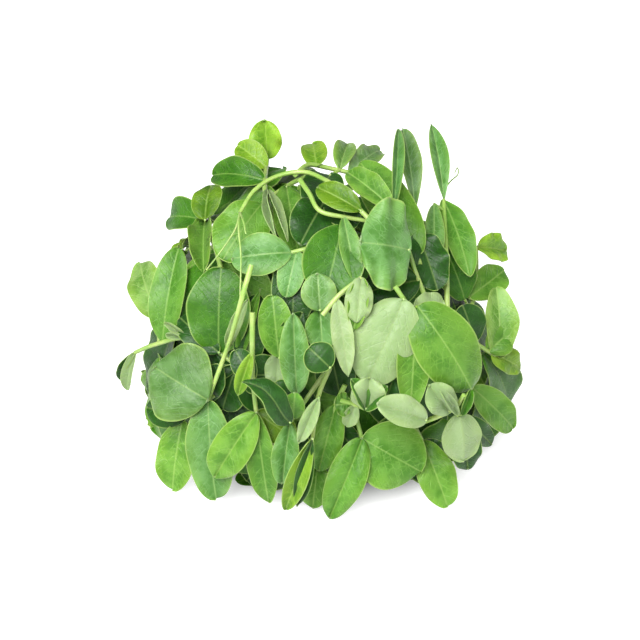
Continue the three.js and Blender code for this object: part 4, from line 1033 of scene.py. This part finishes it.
def leafMaterial(name, veins, mottle):
    values = leafFinish[name]
    material, tree, shader = newMaterial(name)
    place = attribute(tree, "bladePlace", "Vector")
    tint = attribute(tree, "tint", "Color")
    pattern = addNode(tree, "ShaderNodeGroup", node_tree=veins)
    plug(tree, place, pattern.inputs["Place"])
    plug(tree, attribute(tree, "seed"), pattern.inputs["Seed"])
    patches = addNode(tree, "ShaderNodeGroup", node_tree=mottle)
    body = addNode(tree, "ShaderNodeTexCoord").outputs["Object"]
    plug(tree, body, patches.inputs["Place"])
    edge, midrib, look = attribute(tree, "edge"), pattern.outputs["Midrib"], leafLook
    pale, deep, outer = (mixed(tree, 1.0, tint, look[key], "MULTIPLY")
                         for key in ("paleFactor", "deepFactor", "outerFactor"))
    colour = mixed(tree, mapped(tree, patches.outputs["Patches"], *look["deep"]), deep, tint)
    colour = mixed(tree, mapped(tree, edge, *look["outer"]), colour, outer)
    for share, name in ((look["net"], "Net"), (look["veins"], "Veins")):
        colour = mixed(tree, calc(tree, "MULTIPLY", pattern.outputs[name], share), colour, pale)
    colour = mixed(tree, calc(tree, "MULTIPLY", midrib, look["midrib"]), colour,
                   mixed(tree, look["midribOwn"], pale, look["midribColour"]))
    colour = mixed(tree, mapped(tree, edge, *look["margin"]), colour, look["marginColour"])
    # the underside is paler and duller
    over = calc(tree, "ABSOLUTE", calc(tree, "SUBTRACT", attribute(tree, "under"),
                                       attribute(tree, "turnedOver")))
    colour = mixed(tree, calc(tree, "MULTIPLY", over, look["under"]), colour,
                   mixed(tree, calc(tree, "MULTIPLY", midrib, look["underMidrib"]),
                         look["underColour"], look["underMidribColour"]))
    plug(tree, colour, shader.inputs["Base Color"])
    plug(tree, mapped(tree, patches.outputs["Grain"], *look["grain"], *values["rough"]),
         shader.inputs["Roughness"])
    grain = calc(tree, "MULTIPLY", patches.outputs["Grain"], look["grainHeight"])
    bump = addNode(tree, "ShaderNodeBump", {
        "Height": calc(tree, "ADD", pattern.outputs["Height"], grain),
        "Strength": values["bump"], "Distance": look["bumpHeight"]})
    plug(tree, bump.outputs[0], shader.inputs["Normal"])
    setInputs(shader, {
        "Subsurface Weight": values["subsurface"], "Subsurface Radius": (0.6, 1.0, 0.25),
        "Subsurface Scale": 0.0012, "Specular IOR Level": values["specular"],
        "Sheen Weight": values["sheen"], "Sheen Roughness": 0.6})
    return material


stemFinish = {"rough": (0.38, 0.55), "subsurface": 0.35, "patches": (0.35, 0.68),
              "deepFactor": (0.66, 0.85, 0.55, 1), "grain": (0.35, 0.7)}


def stemMaterial(mottle):
    material, tree, shader = newMaterial("stem")
    patches = addNode(tree, "ShaderNodeGroup", node_tree=mottle)
    plug(tree, addNode(tree, "ShaderNodeTexCoord").outputs["Object"], patches.inputs["Place"])
    tint = attribute(tree, "tint", "Color")
    colour = mixed(tree, mapped(tree, patches.outputs["Patches"], *stemFinish["patches"]),
                   mixed(tree, 1.0, tint, stemFinish["deepFactor"], "MULTIPLY"), tint)
    plug(tree, colour, shader.inputs["Base Color"])
    plug(tree, mapped(tree, patches.outputs["Grain"], *stemFinish["grain"],
                      *stemFinish["rough"]), shader.inputs["Roughness"])
    bump = addNode(tree, "ShaderNodeBump", {"Height": patches.outputs["Grain"],
                                            "Strength": 0.25, "Distance": 0.0003})
    plug(tree, bump.outputs[0], shader.inputs["Normal"])
    setInputs(shader, {"Subsurface Weight": stemFinish["subsurface"],
                       "Subsurface Radius": (0.7, 1.0, 0.3), "Subsurface Scale": 0.002})
    return material


# the dark tone is a mature leaf's deep green with painted shade in it, for the leaves that lie in
# shadow between the others
tones = {  # leaf colours, linear
    "mid": (0.070, 0.170, 0.018), "deep": (0.030, 0.112, 0.004), "dark": (0.009, 0.048, 0.002),
    "bright": (0.085, 0.200, 0.022), "lime": (0.110, 0.210, 0.012), "pale": (0.16, 0.24, 0.095),
    "grey": (0.082, 0.190, 0.050), "olive": (0.065, 0.142, 0.004), "sunny": (0.16, 0.29, 0.022),
    "light": (0.14, 0.25, 0.06), "silver": (0.115, 0.205, 0.08), "slate": (0.064, 0.140, 0.038),
    "chalk": (0.21, 0.28, 0.14),
}
undersides = ("pale", "chalk")  # the tones of leaves that show their lower face
stemTones = {"stem": (0.27, 0.36, 0.095), "stalk": (0.25, 0.34, 0.085),
             "tendril": (0.27, 0.35, 0.11)}
hiddenTones = ("mid", "deep", "dark", "mid", "grey", "deep", "mid", "bright")
# painted shade: the hidden leaves of the bed, of the inner rings and inside the heap take darker
# tones than the other hidden ones, as they lie in its shadow
shadedTones = ("deep", "dark", "dark", "mid", "deep", "dark", "deep", "dark")
shadedShoots = ("shoot_bed", "shoot_inner", "shoot_middle")
onFloor = 0.0008  # below this height shapes are pressed together, so that none goes under 0

chance = np.random.default_rng(7)
scene = bpy.context.scene


def bonesObject(name, points, edges, fields):
    mesh = bpy.data.meshes.new(name)
    mesh.from_pydata((points * mm).tolist(), edges, [])
    for key, values in fields.items():
        kind, slot = ("FLOAT", "value") if values.ndim == 1 else ("FLOAT_VECTOR", "vector")
        made = mesh.attributes.new(key, kind, "POINT")
        made.data.foreach_set(slot, values.astype(np.float32).ravel())
    obj = bpy.data.objects.new(name, mesh)
    scene.collection.objects.link(obj)
    return obj


def grown(obj, tree, values):
    modifier = obj.modifiers.new("grow", "NODES")
    modifier.node_group = tree
    sockets = {item.name: item.identifier for item in tree.interface.items_tree
               if item.item_type == "SOCKET" and item.in_out == "INPUT"}
    for name, value in values.items():
        modifier[sockets[name]] = value
    mesh = bpy.data.meshes.new_from_object(
        obj.evaluated_get(bpy.context.evaluated_depsgraph_get()))
    places = np.empty(len(mesh.vertices) * 3, np.float32)
    mesh.vertices.foreach_get("co", places)
    heights = places[2::3]
    heights[:] = np.where(heights < onFloor, onFloor * np.exp(heights / onFloor - 1), heights)
    mesh.vertices.foreach_set("co", places)
    bones = obj.data
    obj.modifiers.remove(modifier)
    obj.data = mesh
    bpy.data.meshes.remove(bones)
    return obj


def span(pair):
    return chance.uniform(*pair)


# The rows of one leaflet: the middle of each, the ways to its edges, and how it is to look
def bladeBones(made, rows, toneName):
    u = np.arange(rows) / (rows - 1)
    even = leaflet["evenRows"]
    s = even * u + (1 - even) * (1 - np.cos(np.pi * u)) / 2
    inner = np.clip(s, 0.02, 0.98)
    middle, left, right = (leafPoint(made, s, np.full(rows, t)) for t in (0.0, -1.0, 1.0))
    innerLeft, innerRight = (leafPoint(made, inner, np.full(rows, t)) for t in (-1.0, 1.0))
    ahead = leafPoint(made, inner + 0.02, 0 * s) - leafPoint(made, inner - 0.02, 0 * s)
    facing = np.cross(innerRight - innerLeft, ahead)
    facing /= np.linalg.norm(facing, axis=1)[:, None]
    clipped = np.clip(s, 0.004, 0.996)
    slender = np.clip((leaflet["slenderFrom"] - made["width"] / made["length"])
                      / leaflet["slenderOver"], 0, 1)
    outline = np.sin(np.pi * clipped ** span(leaflet["outline"])) \
        ** np.interp(slender, (0, 1), leaflet["roundness"])
    ratio = outline / np.sin(np.pi * clipped ** blade["widest"]) ** blade["blunt"]
    middle[-1] += unit(ahead[-1]) * np.interp(slender, (0, 1), leaflet["point"])
    if made.get("flat"):
        middle = middle + vertical * leaflet["lift"]
    # a leaflet that would dip into another one of its shoot is raised towards the viewer
    raising = np.minimum(1, s / leaflet["raiseOver"])[:, None]
    middle = middle + toward * made.get("raised", 0) * raising
    half = halfWidthAt(made, s) * ratio
    ones = np.ones(rows)
    size = min(1, made["width"] / leaflet["fullSize"])
    tone = np.array(tones[toneName]) * span(leaflet["shade"]) \
        * np.array([span(leaflet["redness"]), 1, span(leaflet["blueness"])])
    return {
        "points": middle,
        "toLeft": (left - middle) * ratio[:, None] * mm,
        "toRight": (right - middle) * ratio[:, None] * mm,
        "facing": facing,
        "shape": np.stack([s * made["length"] * mm, half * mm, s], axis=1),
        "ripple": np.outer(ones, [span(leaflet["ripple"]) * size * mm, span(leaflet["turns"]),
                                  chance.uniform(0, 1)]),
        "manner": np.outer(ones, [span(leaflet["cup"]) * size * mm, toneName in undersides,
                                  chance.uniform(0, 9)]),
        "tint": np.outer(ones, tone),
    }


# Stems, stalks and tendrils of one shoot as chains of bones, with their girth
def tubeBones(shoot):
    points, edges, girth, tint = [], [], [], []
    kinds = (("stem", [shoot["stem"]], stem, tube["stem"]),
             ("stalk", shoot["stalks"], stalk, tube["stalk"]),
             ("stalk", shoot["stubs"], stalk, tube["stub"]),
             ("tendril", shoot["tendrils"], tendril, tube["tendril"]))
    for kind, paths, solid, shares in kinds:
        for corners in paths:
            path = cornersOf(corners, tube["spacing"])
            start = len(points)
            points.extend(path)
            edges.extend((start + i, start + i + 1) for i in range(len(path) - 1))
            girth.extend(np.linspace(*shares, len(path)) * solid["radius"] * mm)
            tone = np.array(stemTones[kind]) * chance.uniform(0.88, 1.1)
            tint.extend([tone] * len(path))
    return np.array(points), edges, {"girth": np.array(girth), "tint": np.array(tint)}


blades, tubes = bladeTree(), tubeTree()
veins, mottle = veinGroup(), mottleGroup()
materials = {name: leafMaterial(name, veins, mottle) for name in leafFinish}
materials["stem"] = stemMaterial(mottle)
triangles = 0
for shoot in shoots:
    name = shoot["name"]
    rows, columns = leaflet["seenMesh" if name in seenShoots else "hiddenMesh"]
    isShaded = "host" in shoot or name.startswith(shadedShoots)
    unseenTones = shadedTones if isShaded else hiddenTones
    bones = []
    for made in shoot["leaves"]:
        toneName = made.get("tone") or ("lime" if made.get("bud") else
                                        unseenTones[int(chance.integers(len(unseenTones)))])
        bones.append(bladeBones(made, rows, toneName))
    fields = {key: np.concatenate([bone[key] for bone in bones]) for key in bones[0]}
    points = fields.pop("points")
    slotName = "young_leaf" if np.mean([made["width"] for made in shoot["leaves"]]) < 10 else "leaf"
    leaves = grown(bonesObject(name + "_leaflets", points, [], fields), blades, {
        "Rows": rows, "Columns": columns, "Thickness": leaflet["thickness"] * mm,
        "Crease": leaflet["crease"], "Rib Width": leaflet["ribWidth"] * mm,
        "Rib Depth": leaflet["ribDepth"] * mm, "Material": materials[slotName]})
    stems = grown(bonesObject(name + "_stems", *tubeBones(shoot)), tubes, {
        "Sides": tube["sides"], "Ridge": tube["ridge"], "Material": materials["stem"]})
    for piece, slot in ((leaves, slotName), (stems, "stem")):
        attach(piece, "root")
        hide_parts(shoot.get("host", name))
        triangles += sum(len(face.vertices) - 2 for face in piece.data.polygons)
print("grown", triangles, "triangles")

floorPlate = {"size": 6, "colour": (0.5, 0.5, 0.5, 1), "rough": 0.8, "glow": 0.85,
              "glowFrom": 0.05, "glowFull": 0.08}
bpy.ops.mesh.primitive_plane_add(size=floorPlate["size"])
floor = bpy.context.object
floor.name = "floor"
floorMaterial, floorTree, floorShader = newMaterial("floor")
setInputs(floorShader, {"Base Color": floorPlate["colour"], "Roughness": floorPlate["rough"],
                        "Emission Color": (1, 1, 1, 1)})
# away from the heap it shines by itself, so that shadows stay faint on it
away = vectorCalc(floorTree, "LENGTH", addNode(floorTree, "ShaderNodeTexCoord").outputs["Object"])
plug(floorTree, mapped(floorTree, away, floorPlate["glowFrom"], floorPlate["glowFull"], 0.0,
                       floorPlate["glow"]), floorShader.inputs["Emission Strength"])
floor.data.materials.append(floorMaterial)

lighting = {"world": 0.25, "key": 41.0, "keySize": 0.9, "keyPlace": (-0.35, -0.75, 0.95),
            "fill": 4.0, "fillSize": 1.0, "fillPlace": (0.7, -0.5, 0.6)}
world = bpy.data.worlds.new("studio")
world.use_nodes = True
setInputs(world.node_tree.nodes["Background"],
          {"Color": (1, 1, 1, 1), "Strength": lighting["world"]})
scene.world = world


def areaLight(name, power, size, place):
    light = bpy.data.lights.new(name, "AREA")
    light.energy, light.size = power, size
    obj = bpy.data.objects.new(name, light)
    scene.collection.objects.link(obj)
    obj.location = place
    obj.rotation_euler = (-obj.location).to_track_quat("-Z", "Y").to_euler()


areaLight("key", lighting["key"], lighting["keySize"], lighting["keyPlace"])
areaLight("fill", lighting["fill"], lighting["fillSize"], lighting["fillPlace"])

film = {"width": 36, "shows": 256}  # millimetres, the second at the heap
lens = bpy.data.cameras.new("camera")
lens.sensor_width = film["width"]
lens.lens = film["width"] * viewer["distance"] / film["shows"]
camera = bpy.data.objects.new("camera", lens)
scene.collection.objects.link(camera)
aim = across * viewer["aim"][0] + upward * viewer["aim"][1]
camera.location = (aim + toward * viewer["distance"]) * mm
camera.rotation_euler = (math.pi / 2 - viewer["lookDown"], 0, 0)
scene.camera = camera
scene.view_settings.view_transform = "Standard"
print("staged")
